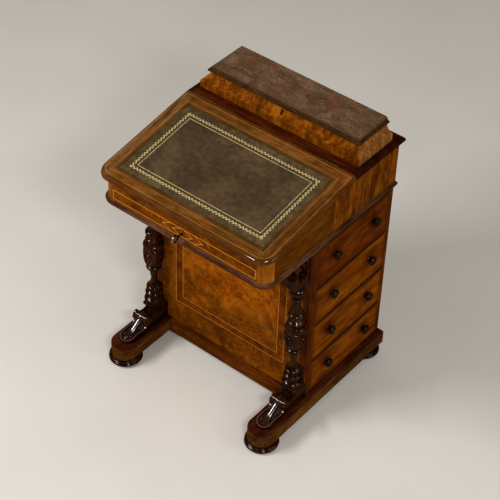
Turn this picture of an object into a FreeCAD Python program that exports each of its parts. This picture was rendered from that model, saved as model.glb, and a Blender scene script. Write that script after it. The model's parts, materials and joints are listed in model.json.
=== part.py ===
import FreeCAD, Part
import math
import os

# A davenport desk: a narrow pedestal of side drawers, a sloping lid over a writing well,
# a stationery box on the shelf behind it, and a pair of turned columns under the overhang.
# Millimetres, +Z up, front towards -Y, standing at z = 0, the origin in the middle of its floor area.

Vector = FreeCAD.Vector
across = Vector(1, 0, 0)
upward = Vector(0, 0, 1)

# Heights
foot_height = 24.0
rail_height = 42.0
pedestal_height = 519.0
case_height = 151.0
stationery_height = 47.0
stationery_lid_thickness = 16.0

# Widths and depths
case_width = 520.0
case_depth = 527.0
shelf_run = 198.0
case_corner_radius = 30.0
case_wall = 16.0
case_floor = 12.0
pedestal_inset = 2.5
knee_depth = 188.0

# Moulded top: the sloping lid and the fixed shelf share one edge
top_thickness = 28.0
top_overhang = 11.0
top_round = 9.0
top_nose_drop = 12.0
top_lip = 1.5
top_band_share = 0.7
top_cove_sag_share = -0.16
top_round_sag_share = 0.2
lid_drop = 52.5
lid_forward = 5.0
leather_border = 45.0
leather_thickness = 1.0

# Base moulding of the case
moulding_width = 8.5
moulding_height = 12.0
moulding_step_share = 0.25
moulding_nose_sag_share = 0.3

# Sledge rails, plinths and feet
rail_width = 76.0
rail_inset = 20.0
rail_front_reach = 2.0
rail_edge_round = 3.0
plinth_proud = 10.0
plinth_thickness = 30.0
pedestal_floor = 12.0
foot_radius = 47.0
foot_inset = 40.0

# Turned outline of a bun foot from its sole to the rail: share of the radius, share of the height, bulge
foot_shares = [
    (0.68, 0.00, 0.0), (0.98, 0.30, 0.10), (0.93, 0.58, 0.2), (0.89, 0.60, 0.0), (0.93, 0.66, 0.0),
    (0.93, 0.86, 0.3), (0.87, 0.90, 0.0), (0.87, 1.00, 0.0),
]

# Pedestal boards and stiles
panel_thickness = 17.0
back_thickness = 12.0
stile_depth = 22.0
front_stile_width = 27.0
back_stile_width = 15.0
bead_width = 12.0
bead_sag_share = 0.45
dust_board = 8.0
top_board = 19.0

# Drawers
drawer_count = 4
upper_drawer_share = 0.257
drawer_front_thickness = 18.0
drawer_side = 10.0
drawer_bottom = 6.0
drawer_bottom_lift = 4.0
drawer_headroom = 14.0
drawer_end_gap = 6.0
drawer_gap = 0.8
drawer_lift = 0.3
dummy_thickness = 9.0
knob_radius = 13.5
knob_stand = 18.0
knob_spigot_radius = 5.0
knob_spigot = 7.5
knob_spacing = 165.0
knob_height_share = 0.585
fit_clearance = 0.05

# Turned outline of a knob from its collar to its button: share of the radius, share of the stand, bulge
knob_shares = [
    (0.62, 0.00, 0.0), (0.62, 0.14, 0.3), (0.46, 0.17, 0.0), (0.46, 0.36, -0.1), (0.98, 0.66, 0.18),
    (0.80, 0.90, 0.2), (0.66, 0.90, 0.0), (0.60, 0.82, 0.0), (0.48, 0.82, 0.0), (0.30, 1.00, 0.2),
    (0.00, 1.00, 0.0),
]

# Columns, scroll toes and fretted brackets
column_radius = 29.0
column_gap = 0.6
plate_side = 44.0
plate_height = 13.0
plate_chamfer = 4.0
toe_height = 52.0
toe_width = 46.0
toe_reach = 164.0
toe_ridge = 6.0
toe_channel = 2.5
boss_radius = 6.4
fold_width = 3.8
fold_rise = 2.4
fold_taper = 1.0
bracket_height = 110.0
bracket_thickness = 24.0
bracket_reach = 150.0

# Turned outline from the plate up to the collar: share of the height, share of the radius, bulge
column_shares = [
    (0.000, 0.68, 0.0), (0.006, 0.82, 0.0), (0.047, 0.82, 0.28), (0.056, 0.66, 0.0),
    (0.078, 0.66, 0.0), (0.083, 0.74, 0.0), (0.115, 0.74, 0.30), (0.123, 0.60, 0.0),
    (0.140, 0.60, 0.0), (0.143, 0.64, 0.0), (0.172, 0.64, 0.30), (0.181, 0.56, 0.0),
    (0.290, 0.36, -0.12), (0.345, 0.38, 0.0), (0.352, 0.62, 0.0), (0.385, 0.62, 0.30),
    (0.395, 0.56, 0.0), (0.438, 0.90, 0.12), (0.505, 0.97, 0.03), (0.560, 0.95, 0.03), (0.575, 0.84, 0.18),
    (0.580, 0.88, 0.0), (0.620, 0.88, 0.22), (0.630, 0.62, 0.0), (0.640, 0.66, 0.0),
    (0.672, 0.66, 0.28), (0.681, 0.56, 0.0), (0.705, 0.56, 0.0), (0.710, 0.64, 0.0),
    (0.745, 0.64, 0.28), (0.755, 0.55, 0.0), (0.855, 0.34, -0.05), (0.868, 0.34, 0.0),
    (0.872, 0.44, 0.0), (0.893, 0.44, 0.30), (0.905, 0.38, 0.0), (0.918, 0.50, 0.0),
    (0.985, 0.50, 0.25), (1.000, 0.55, 0.0),
]

# The carved capital: heights as shares of the shaft, widths as shares of the column's radius
capital_foot_share = 0.395
capital_head_share = 0.577
capital_face_share = 0.80
boss_height_share = 0.512
fold_foot_height_share = 0.445
fold_foot_share = 0.20
fold_half_share = 0.44

# Side outline of a scroll toe: share of its reach, share of its height, bulge
toe_shares = [
    (0.00, 0.00, 0.0), (0.00, 1.00, 0.0), (0.28, 1.00, 0.0), (0.25, 0.70, -0.08),
    (0.47, 0.97, -0.24), (0.57, 0.80, 0.28), (0.53, 0.44, 0.26), (0.70, 0.30, -0.20),
    (0.92, 0.20, 0.06), (1.00, 0.14, 0.0), (1.00, 0.00, 0.0),
]

# Side outline of a bracket: share of its reach forwards, share of its height downwards, bulge
bracket_shares = [
    (0.00, -1.00, 0.0), (0.00, 0.00, 0.0), (1.00, 0.00, 0.0), (1.00, -0.09, 0.0),
    (0.84, -0.17, 0.20), (0.66, -0.47, -0.08), (0.42, -0.82, 0.06), (0.36, -1.00, -0.10),
]
# Each piercing: place as shares of reach and height, half length and half width as shares of the bracket's
# extent in those directions, and its lean in degrees
bracket_piercing_shares = [
    (0.233, -0.48, 0.310, 0.100, 90.0), (0.127, -0.66, 0.105, 0.057, 90.0),
    (0.127, -0.47, 0.105, 0.057, 90.0), (0.127, -0.28, 0.105, 0.057, 90.0),
    (0.507, -0.33, 0.268, 0.095, 52.0),
]

# Butt hinges of both lids
hinge_gap = 0.5
hinge_knuckles = 5
hinge_pin_radius = 1.3
hinge_barrel_radius = 2.6
hinge_clearance = 0.3
lid_hinge_length = 50.0
lid_hinge_leaf = 16.0
lid_hinge_spacing = 385.0
leaf_thickness = 1.5
box_hinge_length = 38.0
box_hinge_leaf = 10.0
box_hinge_spacing = 300.0
seat_clearance = 0.3

# Lid lock and its key
lock_width = 56.0
lock_depth = 11.0
lock_plate = 1.5
lock_below_key = 14.0
key_height = 32.0
key_stand = 40.0
key_pin_radius = 2.2
key_bit_length = 3.0
key_bit_drop = 9.0
key_bit_width = 2.4
key_collar_radius = 3.6
key_collar_length = 3.0
key_bow_radius = 10.0
key_bow_wire = 2.2
bolt_width = 20.0
bolt_thickness = 3.0
bolt_rest_gap = 1.0
bolt_play = 0.3
strike_play = 1.0
keyhole_clearance = 0.4
escutcheon_rim = 1.6
escutcheon_depth = 3.0

# Stationery box
stationery_end_inset = 7.5
stationery_front_inset = 33.0
stationery_back_inset = 25.0
stationery_base = 20.0
stationery_cove = 20.0
stationery_cove_sag_share = -0.17
stationery_wall = 12.0
stationery_bottom = 4.0
stationery_divider = 5.0
stationery_compartments = 3
stationery_lid_overhang = 6.0
stationery_lid_round = 4.0
stationery_lid_lip = 6.0
stationery_lid_sag_share = 0.15
box_lock_width = 40.0
box_lock_height = 25.0
box_lock_depth = 8.0
box_keyhole_drop = 12.0
box_keyhole_radius = 2.2
box_keyhole_slot = 7.0

# Pigeonholes under the shelf
pigeonhole_count = 4
partition_thickness = 6.0
partition_inset = 20.0

# One overrun serves every cut
overrun = 5.0

# Rise of a half circle and of a quarter circle as shares of their chords
half_round_share = 0.5
quarter_round_share = (math.sqrt(2) - 1) / 2

# Levels
rail_top = foot_height + rail_height
case_bottom = rail_top + pedestal_height
case_inside = case_bottom + case_floor
shelf_top = case_bottom + case_height
shelf_bottom = shelf_top - top_thickness
box_joint = shelf_top + stationery_height
column_bottom = rail_top + toe_height
column_height = pedestal_height - toe_height - bracket_height
upper_drawer_pitch = (pedestal_height - top_board) * upper_drawer_share

# Lines across the depth: the key in front and the shelf's edge behind are equally far from the origin
back_edge = (case_depth + top_overhang + key_stand) / 2
case_back = back_edge - top_overhang
case_front = case_back - case_depth
lid_run = case_depth - shelf_run
hinge_y = case_front + lid_run
pedestal_front = case_front + knee_depth
rail_front = case_front - rail_front_reach
column_y = pedestal_front - max(column_radius, plate_side / 2) - column_gap
opening_front = pedestal_front + front_stile_width
opening_back = case_back - back_stile_width

# Lines across the width
case_side = case_width / 2
pedestal_side = case_side - pedestal_inset
pedestal_inside = pedestal_side - stile_depth
rail_x = case_side - rail_inset
rail_inside = rail_x - rail_width / 2
rail_outside = rail_x + rail_width / 2
column_x = rail_x

# The moulded band of the lid lies inside its rounded corners
top_band = case_corner_radius * top_band_share

# The slope of the lid, which stands a little ahead of the frieze even at its lower arris
slope = math.atan2(lid_drop, lid_run)
slope_degrees = math.degrees(slope)
lid_length = (lid_run + lid_forward + top_thickness * math.sin(slope)) / math.cos(slope)
lid_underside_drop = top_thickness / math.cos(slope)

# The lock: the bit turns below the bolt and lifts it
key_z = case_bottom + key_height
lock_face = case_front + case_wall - lock_depth
lock_top = shelf_top - lid_drop - lid_underside_drop - seat_clearance
bit_front = lock_face + lock_plate + bolt_play
bolt_bottom = key_z + key_pin_radius + bolt_rest_gap
bolt_travel = key_bit_drop - key_pin_radius

# The stationery box
box_side = case_side - stationery_end_inset
box_back = case_back - stationery_back_inset
box_front = hinge_y + stationery_front_inset
box_neck_side = box_side - stationery_cove
box_neck_front = box_front + stationery_cove
box_inside = box_neck_side - stationery_wall
box_inside_front = box_neck_front + stationery_wall
box_inside_back = box_back - stationery_wall


def block(x0, x1, y0, y1, z0, z1):
    return Part.makeBox(x1 - x0, y1 - y0, z1 - z0, Vector(x0, y0, z0))


def rod(radius, start, direction, length):
    return Part.makeCylinder(radius, length, start, direction)


def outline_face(steps, place):
    """A flat face. Each step is a point and the bulge of the edge that reaches it.

    A bulge is the rise of an arc as a share of its chord, outwards on an outline that runs anticlockwise.
    """
    edges = []
    previous = steps[-1]
    for step in steps:
        start = place(previous[0], previous[1])
        end = place(step[0], step[1])
        if step[2] == 0:
            edges.append(Part.makeLine(start, end))
        else:
            middle_a = (previous[0] + step[0]) / 2 + (step[1] - previous[1]) * step[2]
            middle_b = (previous[1] + step[1]) / 2 - (step[0] - previous[0]) * step[2]
            edges.append(Part.Arc(start, place(middle_a, middle_b), end).toShape())
        previous = step
    return Part.Face(Part.Wire(edges))


def slab_x(steps, x0, x1):
    """An outline in depth and height, drawn out across the width."""
    face = outline_face(steps, lambda y, z: Vector(x0, y, z))
    return face.extrude(Vector(x1 - x0, 0, 0))


def slab_y(steps, y0, y1):
    """An outline in width and height, drawn out through the depth."""
    face = outline_face(steps, lambda x, z: Vector(x, y0, z))
    return face.extrude(Vector(0, y1 - y0, 0))


def slab_z(steps, z0, z1):
    """A plan outline, drawn upwards."""
    face = outline_face(steps, lambda x, y: Vector(x, y, z0))
    return face.extrude(Vector(0, 0, z1 - z0))


def turned(steps, x, y):
    """A turned piece: steps are radius, height, bulge."""
    face = outline_face(steps, lambda radius, z: Vector(x + radius, y, z))
    return face.revolve(Vector(x, y, 0), upward, 360)


def mirrored(shape):
    return shape.mirror(Vector(0, 0, 0), across)


def both_sides(shape):
    return [shape, mirrored(shape)]


def both_edges(right):
    """The steps of a symmetrical outline, from those of its right edge, bottom to top."""
    left = []
    for place, (x, z, bulge) in enumerate(reversed(right)):
        reaching = right[len(right) - place][2] if place else 0
        left.append((-x, z, reaching))
    return right + left


def joined(shapes):
    whole = shapes[0].multiFuse(shapes[1:])
    return whole.removeSplitter()


def save(name, shapes):
    shape = shapes[0] if len(shapes) == 1 else Part.makeCompound(shapes)
    shape.exportStep("parts/" + name + ".step")


def drawer_floor(number):
    """Floor of a drawer's space, counted from the top."""
    if number == drawer_count:
        return rail_top
    return case_bottom - top_board - number * upper_drawer_pitch


def drawer_ceiling(number):
    if number == 1:
        return case_bottom - top_board
    return drawer_floor(number - 1) - dust_board


def knob_height(number):
    """Knobs sit a little above the middle of a drawer."""
    floor = drawer_floor(number)
    return floor + (drawer_ceiling(number) - floor) * knob_height_share


def knob_places():
    middle = (opening_front + opening_back) / 2
    return [middle - knob_spacing / 2, middle + knob_spacing / 2]


def side_rail():
    """A sledge rail with a half-round nose, its upper edges eased."""
    nose = rail_width / 2
    steps = [
        (rail_inside, case_back, 0), (rail_inside, rail_front + nose, 0),
        (rail_outside, rail_front + nose, half_round_share), (rail_outside, case_back, 0),
    ]
    rail = slab_z(steps, foot_height, rail_top)
    top_face = max(rail.Faces, key=lambda face: face.CenterOfMass.z)
    long_edges = [edge for edge in top_face.Edges if edge.BoundBox.YMin < case_back - rail_edge_round]
    return rail.makeFillet(rail_edge_round, long_edges)


def bun_foot(x, y):
    """A flattened bun with a turned ring below the rail."""
    steps = [(0, 0, 0)]
    for radius_share, height_share, bulge in foot_shares:
        steps.append((foot_radius * radius_share, foot_height * height_share, bulge))
    steps.append((0, foot_height, 0))
    return turned(steps, x, y)


def front_stile():
    """The right front stile, with a bead down its outer face."""
    bead_start = pedestal_front + (front_stile_width - bead_width) / 2
    steps = [
        (pedestal_inside, pedestal_front, 0), (pedestal_side, pedestal_front, 0),
        (pedestal_side, bead_start, 0), (pedestal_side, bead_start + bead_width, bead_sag_share),
        (pedestal_side, opening_front, 0), (pedestal_inside, opening_front, 0),
    ]
    return slab_z(steps, rail_top, case_bottom)


def back_stile():
    return block(pedestal_inside, pedestal_side, opening_back, case_back, rail_top, case_bottom)


def pedestal_left():
    """The closed side: a board with a shallow housing for each dummy drawer front."""
    board = block(-pedestal_side, -pedestal_inside, opening_front, opening_back, rail_top, case_bottom)
    for number in range(1, drawer_count + 1):
        housing = block(-pedestal_side - overrun, dummy_thickness - pedestal_side, opening_front - overrun,
                        opening_back + overrun, drawer_floor(number), drawer_ceiling(number))
        board = board.cut(housing)
    return board


def drawer_board(bottom, top):
    """A board between two drawers, its end showing between the stiles."""
    inner = block(-pedestal_inside, pedestal_inside, pedestal_front + panel_thickness,
                  case_back - back_thickness, bottom, top)
    end = block(pedestal_inside, pedestal_side, opening_front, opening_back, bottom, top)
    return joined([inner, end])


def dust_boards():
    boards = [drawer_board(case_bottom - top_board, case_bottom)]
    for number in range(1, drawer_count):
        floor = drawer_floor(number)
        boards.append(drawer_board(floor - dust_board, floor))
    return boards


def knob(y, z):
    """A turned knob on the right side, with its spigot in the front behind it."""
    steps = [(0, -knob_spigot, 0), (knob_spigot_radius, -knob_spigot, 0), (knob_spigot_radius, 0, 0)]
    for radius_share, stand_share, bulge in knob_shares:
        steps.append((knob_radius * radius_share, knob_stand * stand_share, bulge))
    shape = turned(steps, 0, 0)
    shape.rotate(Vector(0, 0, 0), Vector(0, 1, 0), 90)
    shape.translate(Vector(pedestal_side, y, z))
    return shape


def front_board(number, thickness):
    """The front of a drawer on the right side, bored for its two knobs."""
    z0 = drawer_floor(number) + drawer_lift
    z1 = drawer_ceiling(number) - drawer_gap
    board = block(pedestal_side - thickness, pedestal_side, opening_front + drawer_gap,
                  opening_back - drawer_gap, z0, z1)
    for y in knob_places():
        start = Vector(pedestal_side - knob_spigot - fit_clearance, y, knob_height(number))
        board = board.cut(rod(knob_spigot_radius + fit_clearance, start, across, knob_spigot + overrun))
    return board


def drawer_box(number):
    """Two sides, a back and a bottom, standing a little lower than the front."""
    z0 = drawer_floor(number) + drawer_lift
    z1 = drawer_ceiling(number) - drawer_headroom
    x0 = drawer_end_gap - pedestal_inside
    x1 = pedestal_side - drawer_front_thickness
    y0 = opening_front + drawer_gap
    y1 = opening_back - drawer_gap
    near = block(x0, x1, y0, y0 + drawer_side, z0, z1)
    far = block(x0, x1, y1 - drawer_side, y1, z0, z1)
    back = block(x0, x0 + drawer_side, y0 + drawer_side, y1 - drawer_side, z0, z1)
    bottom_z = z0 + drawer_bottom_lift
    bottom = block(x0 + drawer_side, x1, y0 + drawer_side, y1 - drawer_side, bottom_z,
                   bottom_z + drawer_bottom)
    return [near, far, back, bottom]


def shaft_level(share):
    """The height of a share of the turned shaft, which stands on the column's plate."""
    base = column_bottom + plate_height
    return base + (column_height - plate_height) * share


def column_block(half, z0, z1):
    """A square block round the axis of the right column."""
    return block(column_x - half, column_x + half, column_y - half, column_y + half, z0, z1)


def column_plate():
    plate = column_block(plate_side / 2, column_bottom, shaft_level(0))
    top_face = max(plate.Faces, key=lambda face: face.CenterOfMass.z)
    return plate.makeChamfer(plate_chamfer, top_face.Edges)


def column_shaft():
    """The turned shaft of rings, vase, bulb and collar, with four flat faces cut on the bulb."""
    steps = [(0, shaft_level(0), 0)]
    for height_share, radius_share, bulge in column_shares:
        steps.append((column_radius * radius_share, shaft_level(height_share), bulge))
    steps.append((0, shaft_level(1), 0))
    foot = shaft_level(capital_foot_share)
    head = shaft_level(capital_head_share)
    kept = column_block(column_radius * capital_face_share, foot, head)
    waste = column_block(column_radius + overrun, foot, head).cut(kept)
    return turned(steps, column_x, column_y).cut(waste)


def arch_outline(inset, y):
    """An arch in a plane before the column's axis, drawn in by an inset."""
    foot = column_radius * fold_foot_share - inset
    half = column_radius * fold_half_share - inset
    steps = [
        (column_x - foot, shaft_level(fold_foot_height_share), 0),
        (column_x + foot, shaft_level(fold_foot_height_share), 0),
        (column_x + half, shaft_level(boss_height_share), 0),
        (column_x - half, shaft_level(boss_height_share), half_round_share),
    ]
    return outline_face(steps, lambda x, z: Vector(x, y, z)).OuterWire


def arch(inset, taper):
    """A solid arch through the front face of the capital, drawn in by a taper more at its front."""
    face = column_y - column_radius * capital_face_share
    outlines = [arch_outline(inset, face + fold_rise), arch_outline(inset + taper, face - fold_rise)]
    return Part.makeLoft(outlines, True, True)


def capital_ornament():
    """A round boss under an arched fold, on each of the four faces of the capital."""
    fold = arch(0, fold_taper).cut(arch(fold_width, -fold_taper)).Solids[0]
    centre = Vector(column_x, column_y - column_radius + boss_radius, shaft_level(boss_height_share))
    boss = Part.makeSphere(boss_radius, centre)
    pieces = []
    for quarter in range(4):
        for piece in (fold.copy(), boss.copy()):
            piece.rotate(Vector(column_x, column_y, 0), upward, quarter * 90)
            pieces.append(piece)
    return pieces


def column():
    """The right column: a chamfered square plate, a turned shaft and a carved capital."""
    return joined([column_plate(), column_shaft()] + capital_ornament())


def toe_slab(drop, inset):
    """The scroll toe's side outline, lowered by drop along its sweep and kept to its round-ended plan."""
    steps = []
    for reach_share, height_share, bulge in toe_shares:
        height = toe_height * height_share
        lowered = height if height_share in (0, 1) else height - drop
        steps.append((pedestal_front - toe_reach * reach_share, rail_top + lowered, bulge))
    half = toe_width / 2 - inset
    nose = pedestal_front - toe_reach + toe_width / 2
    plan = [
        (column_x - half, pedestal_front, 0), (column_x - half, nose, 0),
        (column_x + half, nose, half_round_share), (column_x + half, pedestal_front, 0),
    ]
    sweep = slab_x(steps, column_x - toe_width, column_x + toe_width)
    return sweep.common(slab_z(plan, rail_top, case_bottom))


def scroll_toe():
    """The right scroll toe: a raised rim that runs round the end, with a shallow channel inside it."""
    rim = toe_slab(0, 0).cut(toe_slab(0, toe_ridge))
    return joined([toe_slab(toe_channel, toe_ridge)] + rim.Solids)


def piercing(reach_share, height_share, length_share, width_share, lean):
    """An oval piercing through a bracket, leaning forwards from level by an angle."""
    turn = math.radians(lean)
    along = Vector(0, -math.cos(turn), math.sin(turn))
    athwart = Vector(0, math.sin(turn), math.cos(turn))
    centre = Vector(column_x - bracket_thickness / 2 - overrun, pedestal_front - bracket_reach * reach_share,
                    case_bottom + bracket_height * height_share)
    extent = math.hypot(bracket_reach * math.cos(turn), bracket_height * math.sin(turn))
    breadth = math.hypot(bracket_reach * math.sin(turn), bracket_height * math.cos(turn))
    far_end = centre + along * (extent * length_share)
    far_side = centre + athwart * (breadth * width_share)
    oval = Part.Ellipse(far_end, far_side, centre)
    face = Part.Face(Part.Wire([oval.toShape()]))
    return face.extrude(Vector(bracket_thickness + 2 * overrun, 0, 0))


def fret_bracket():
    """The right bracket: a scrolled board, pierced, between column head and case."""
    steps = []
    for reach_share, height_share, bulge in bracket_shares:
        y = pedestal_front - bracket_reach * reach_share
        steps.append((y, case_bottom + bracket_height * height_share, bulge))
    board = slab_x(steps, column_x - bracket_thickness / 2, column_x + bracket_thickness / 2)
    for hole in bracket_piercing_shares:
        board = board.cut(piercing(*hole))
    return board


def rounded_plan(side, front, back, radius):
    """A plan outline with its two front corners rounded."""
    return [
        (-side, back, 0), (-side, front + radius, 0), (radius - side, front, quarter_round_share),
        (side - radius, front, 0), (side, front + radius, quarter_round_share), (side, back, 0),
    ]


def under_lid():
    """Everything below the closed lid and the shelf, less the clearance that the lid keeps."""
    front = case_front - case_depth
    back = case_back + overrun
    bottom = case_bottom - overrun
    sloped = shelf_top - lid_underside_drop - seat_clearance
    low = sloped - (hinge_y - front) * math.tan(slope)
    steps = [
        (front, bottom, 0), (front, low, 0), (hinge_y, sloped, 0), (hinge_y, shelf_bottom, 0),
        (back, shelf_bottom, 0), (back, bottom, 0),
    ]
    return slab_x(steps, -case_width, case_width)


def keyhole(radius, slot_width, slot_drop, x, z, y0, y1):
    """A round hole with a slot below it, through a front wall."""
    round_part = rod(radius, Vector(x, y0, z), Vector(0, 1, 0), y1 - y0)
    slot = block(x - slot_width / 2, x + slot_width / 2, y0, y1, z - slot_drop, z)
    return joined([round_part, slot])


def frieze_keyhole(rim, y0, y1):
    """The keyhole of the lid lock, wider all round by a rim."""
    radius = key_pin_radius + keyhole_clearance + rim
    width = key_bit_width + 2 * (keyhole_clearance + rim)
    return keyhole(radius, width, key_bit_drop + keyhole_clearance + rim, 0, key_z, y0, y1)


def case_front_board():
    """The frieze: housed behind for the lock and bored for its key."""
    end = case_side - case_corner_radius
    board = block(-end, end, case_front, case_front + case_wall, case_inside, shelf_top).common(under_lid())
    half = lock_width / 2 + fit_clearance
    board = board.cut(block(-half, half, lock_face - fit_clearance, case_front + case_wall + overrun,
                            key_z - lock_below_key - fit_clearance, shelf_top))
    board = board.cut(frieze_keyhole(escutcheon_rim + fit_clearance, case_front - overrun,
                                     case_front + escutcheon_depth))
    return board.cut(frieze_keyhole(0, case_front - overrun, lock_face + overrun))


def case_corner_post():
    """The rounded right front corner, a solid quarter-round post."""
    radius = case_corner_radius
    steps = [
        (case_side - radius, case_front + radius, 0), (case_side - radius, case_front, 0),
        (case_side, case_front + radius, quarter_round_share),
    ]
    return slab_z(steps, case_inside, shelf_top).common(under_lid())


def case_side_board():
    board = block(case_side - case_wall, case_side, case_front + case_corner_radius, case_back,
                  case_inside, shelf_top)
    return board.common(under_lid())


def moulding_steps():
    """Section of the base moulding: outward distance, height, bulge."""
    step = moulding_height * moulding_step_share
    nose = moulding_height - 2 * step
    shoulder = moulding_width - nose * moulding_nose_sag_share
    return [
        (0, case_bottom, 0), (shoulder, case_bottom, 0), (shoulder, case_bottom + step, 0),
        (shoulder, case_bottom + step + nose, moulding_nose_sag_share),
        (0, case_bottom + moulding_height, -moulding_nose_sag_share / 2),
    ]


def case_mouldings():
    """A length along each side, and one along the front that turns both corners."""
    steps = moulding_steps()
    corner_y = case_front + case_corner_radius
    corner_x = case_side - case_corner_radius
    side_face = outline_face(steps, lambda out, z: Vector(case_side + out, corner_y, z))
    side = side_face.extrude(Vector(0, case_back - corner_y, 0))
    corner = side_face.revolve(Vector(corner_x, corner_y, 0), upward, -90)
    front_face = outline_face(steps, lambda out, z: Vector(-corner_x, case_front - out, z))
    front = front_face.extrude(Vector(corner_x + corner_x, 0, 0))
    return both_sides(side) + [joined([front, corner, mirrored(corner)])]


def top_edge_steps():
    """Section of the moulded edge: outward distance from the case, height from the top, bulge."""
    nose = -top_nose_drop
    return [
        (-top_band, 0, 0), (-top_band, -top_thickness, 0), (0, -top_thickness, 0),
        (top_overhang - top_lip, nose - top_lip, top_cove_sag_share), (top_overhang, nose, 0),
        (top_overhang - top_round, 0, top_round_sag_share),
    ]


def lid_blank():
    """The lid laid flat with its hinge line on the X axis: a core with a moulded band on three sides."""
    steps = top_edge_steps()
    corner_x = case_side - case_corner_radius
    corner_y = case_corner_radius - lid_length
    past = top_thickness
    core_plan = rounded_plan(case_side - top_band, top_band - lid_length, past, case_corner_radius - top_band)
    core = slab_z(core_plan, -top_thickness, 0)
    side_face = outline_face(steps, lambda out, z: Vector(case_side + out, corner_y, z))
    side = side_face.extrude(Vector(0, past - corner_y, 0))
    corner = side_face.revolve(Vector(corner_x, corner_y, 0), upward, -90)
    front_face = outline_face(steps, lambda out, z: Vector(-corner_x, -lid_length - out, z))
    front = front_face.extrude(Vector(corner_x + corner_x, 0, 0))
    return joined([core, side, mirrored(side), corner, mirrored(corner), front])


def to_slope(shape):
    """Lays a flat-drawn piece of the lid on its slope at the hinge line."""
    shape.rotate(Vector(0, 0, 0), across, slope_degrees)
    shape.translate(Vector(0, hinge_y, shelf_top))
    return shape


def leather_block(clearance, above):
    """The leather of the writing surface, drawn flat, or the recess that takes it."""
    half = case_side + top_overhang - leather_border - clearance
    front = leather_border - lid_length - top_overhang + clearance
    return block(-half, half, front, -leather_border - clearance, -leather_thickness, above)


def hinge_places(spacing):
    return [-spacing / 2, spacing / 2]


def hinge_seat(length, leaf, knuckle_side):
    """What a hinge leaf and the whole barrel need cut away, the pin along X at the origin."""
    inner = hinge_gap / 2
    half = length / 2
    plate = block(-half, half, inner, inner + leaf_thickness, -leaf, 0)
    if knuckle_side < 0:
        plate = plate.mirror(Vector(0, 0, 0), Vector(0, 1, 0))
    room = rod(hinge_barrel_radius + hinge_clearance, Vector(-half - hinge_clearance, 0, 0), across,
               length + 2 * hinge_clearance)
    return joined([plate, room])


def hinge_leaf(length, leaf, knuckle_side):
    """A leaf with its knuckles: odd knuckles on the fixed leaf, even ones on the moving leaf."""
    inner = hinge_gap / 2
    half = length / 2
    knuckle = length / hinge_knuckles
    plate = block(-half, half, inner, inner + leaf_thickness, -leaf, 0)
    own = []
    other = []
    for count in range(hinge_knuckles):
        start = count * knuckle - half
        if (count % 2 == 0) == (knuckle_side > 0):
            begin = Vector(start + hinge_clearance / 2, 0, 0)
            own.append(rod(hinge_barrel_radius, begin, across, knuckle - hinge_clearance))
        else:
            begin = Vector(start - hinge_clearance / 2, 0, 0)
            other.append(rod(hinge_barrel_radius + hinge_clearance, begin, across, knuckle + hinge_clearance))
    if knuckle_side < 0:
        plate = plate.mirror(Vector(0, 0, 0), Vector(0, 1, 0))
    for gap in other:
        plate = plate.cut(gap)
    whole = joined([plate] + own)
    bore = rod(hinge_pin_radius + fit_clearance, Vector(-half - overrun, 0, 0), across, length + 2 * overrun)
    return whole.cut(bore)


def hinge_pin(length):
    return rod(hinge_pin_radius, Vector(-length / 2, 0, 0), across, length)


def at_lid_hinges(make):
    """One piece at each lid hinge, its leaves upright between lid and shelf."""
    pieces = []
    for x in hinge_places(lid_hinge_spacing):
        piece = make()
        piece.translate(Vector(x, hinge_y, shelf_top))
        pieces.append(piece)
    return pieces


def at_box_hinges(make):
    """One piece at each hinge of the stationery lid, its leaves flat between lid and back."""
    pieces = []
    for x in hinge_places(box_hinge_spacing):
        piece = make()
        piece.rotate(Vector(0, 0, 0), across, -90)
        piece.translate(Vector(x, box_back, box_joint))
        pieces.append(piece)
    return pieces


def writing_lid():
    """The lid on its slope, recessed for leather, hinges and bolt."""
    blank = lid_blank().cut(leather_block(-fit_clearance, overrun))
    lid = to_slope(blank)
    lid = lid.cut(block(-case_width, case_width, hinge_y - hinge_gap / 2, case_back, case_bottom, box_joint))
    for seat in at_lid_hinges(lambda: hinge_seat(lid_hinge_length, lid_hinge_leaf, -1)):
        lid = lid.cut(seat)
    half = bolt_width / 2 + strike_play
    strike = block(-half, half, bit_front - strike_play, bit_front + bolt_thickness + strike_play,
                   lock_top - overrun, lock_top + bolt_travel + strike_play)
    return lid.cut(strike)


def lid_leather():
    return to_slope(leather_block(0, 0))


def fixed_shelf():
    """The shelf behind the lid, moulded on its ends and back, the back corners mitred."""
    right = [(case_side + out, shelf_top + height, bulge) for out, height, bulge in top_edge_steps()[2:]]
    front = hinge_y + hinge_gap / 2
    lengthways = slab_y(both_edges(right), front, back_edge + overrun)
    depth_steps = [(front, shelf_top, 0), (front, shelf_bottom, 0)]
    for out, height, bulge in top_edge_steps()[2:]:
        depth_steps.append((case_back + out, shelf_top + height, bulge))
    shelf = lengthways.common(slab_x(depth_steps, -case_width, case_width))
    for seat in at_lid_hinges(lambda: hinge_seat(lid_hinge_length, lid_hinge_leaf, 1)):
        shelf = shelf.cut(seat)
    return shelf


def partitions():
    """Upright boards that part the space under the shelf into pigeonholes."""
    inside = case_side - case_wall
    pitch = 2 * inside / pigeonhole_count
    boards = []
    for count in range(1, pigeonhole_count):
        x = count * pitch - inside
        boards.append(block(x - partition_thickness / 2, x + partition_thickness / 2,
                            hinge_y + partition_inset, case_back - case_wall, case_inside, shelf_bottom))
    return boards


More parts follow.
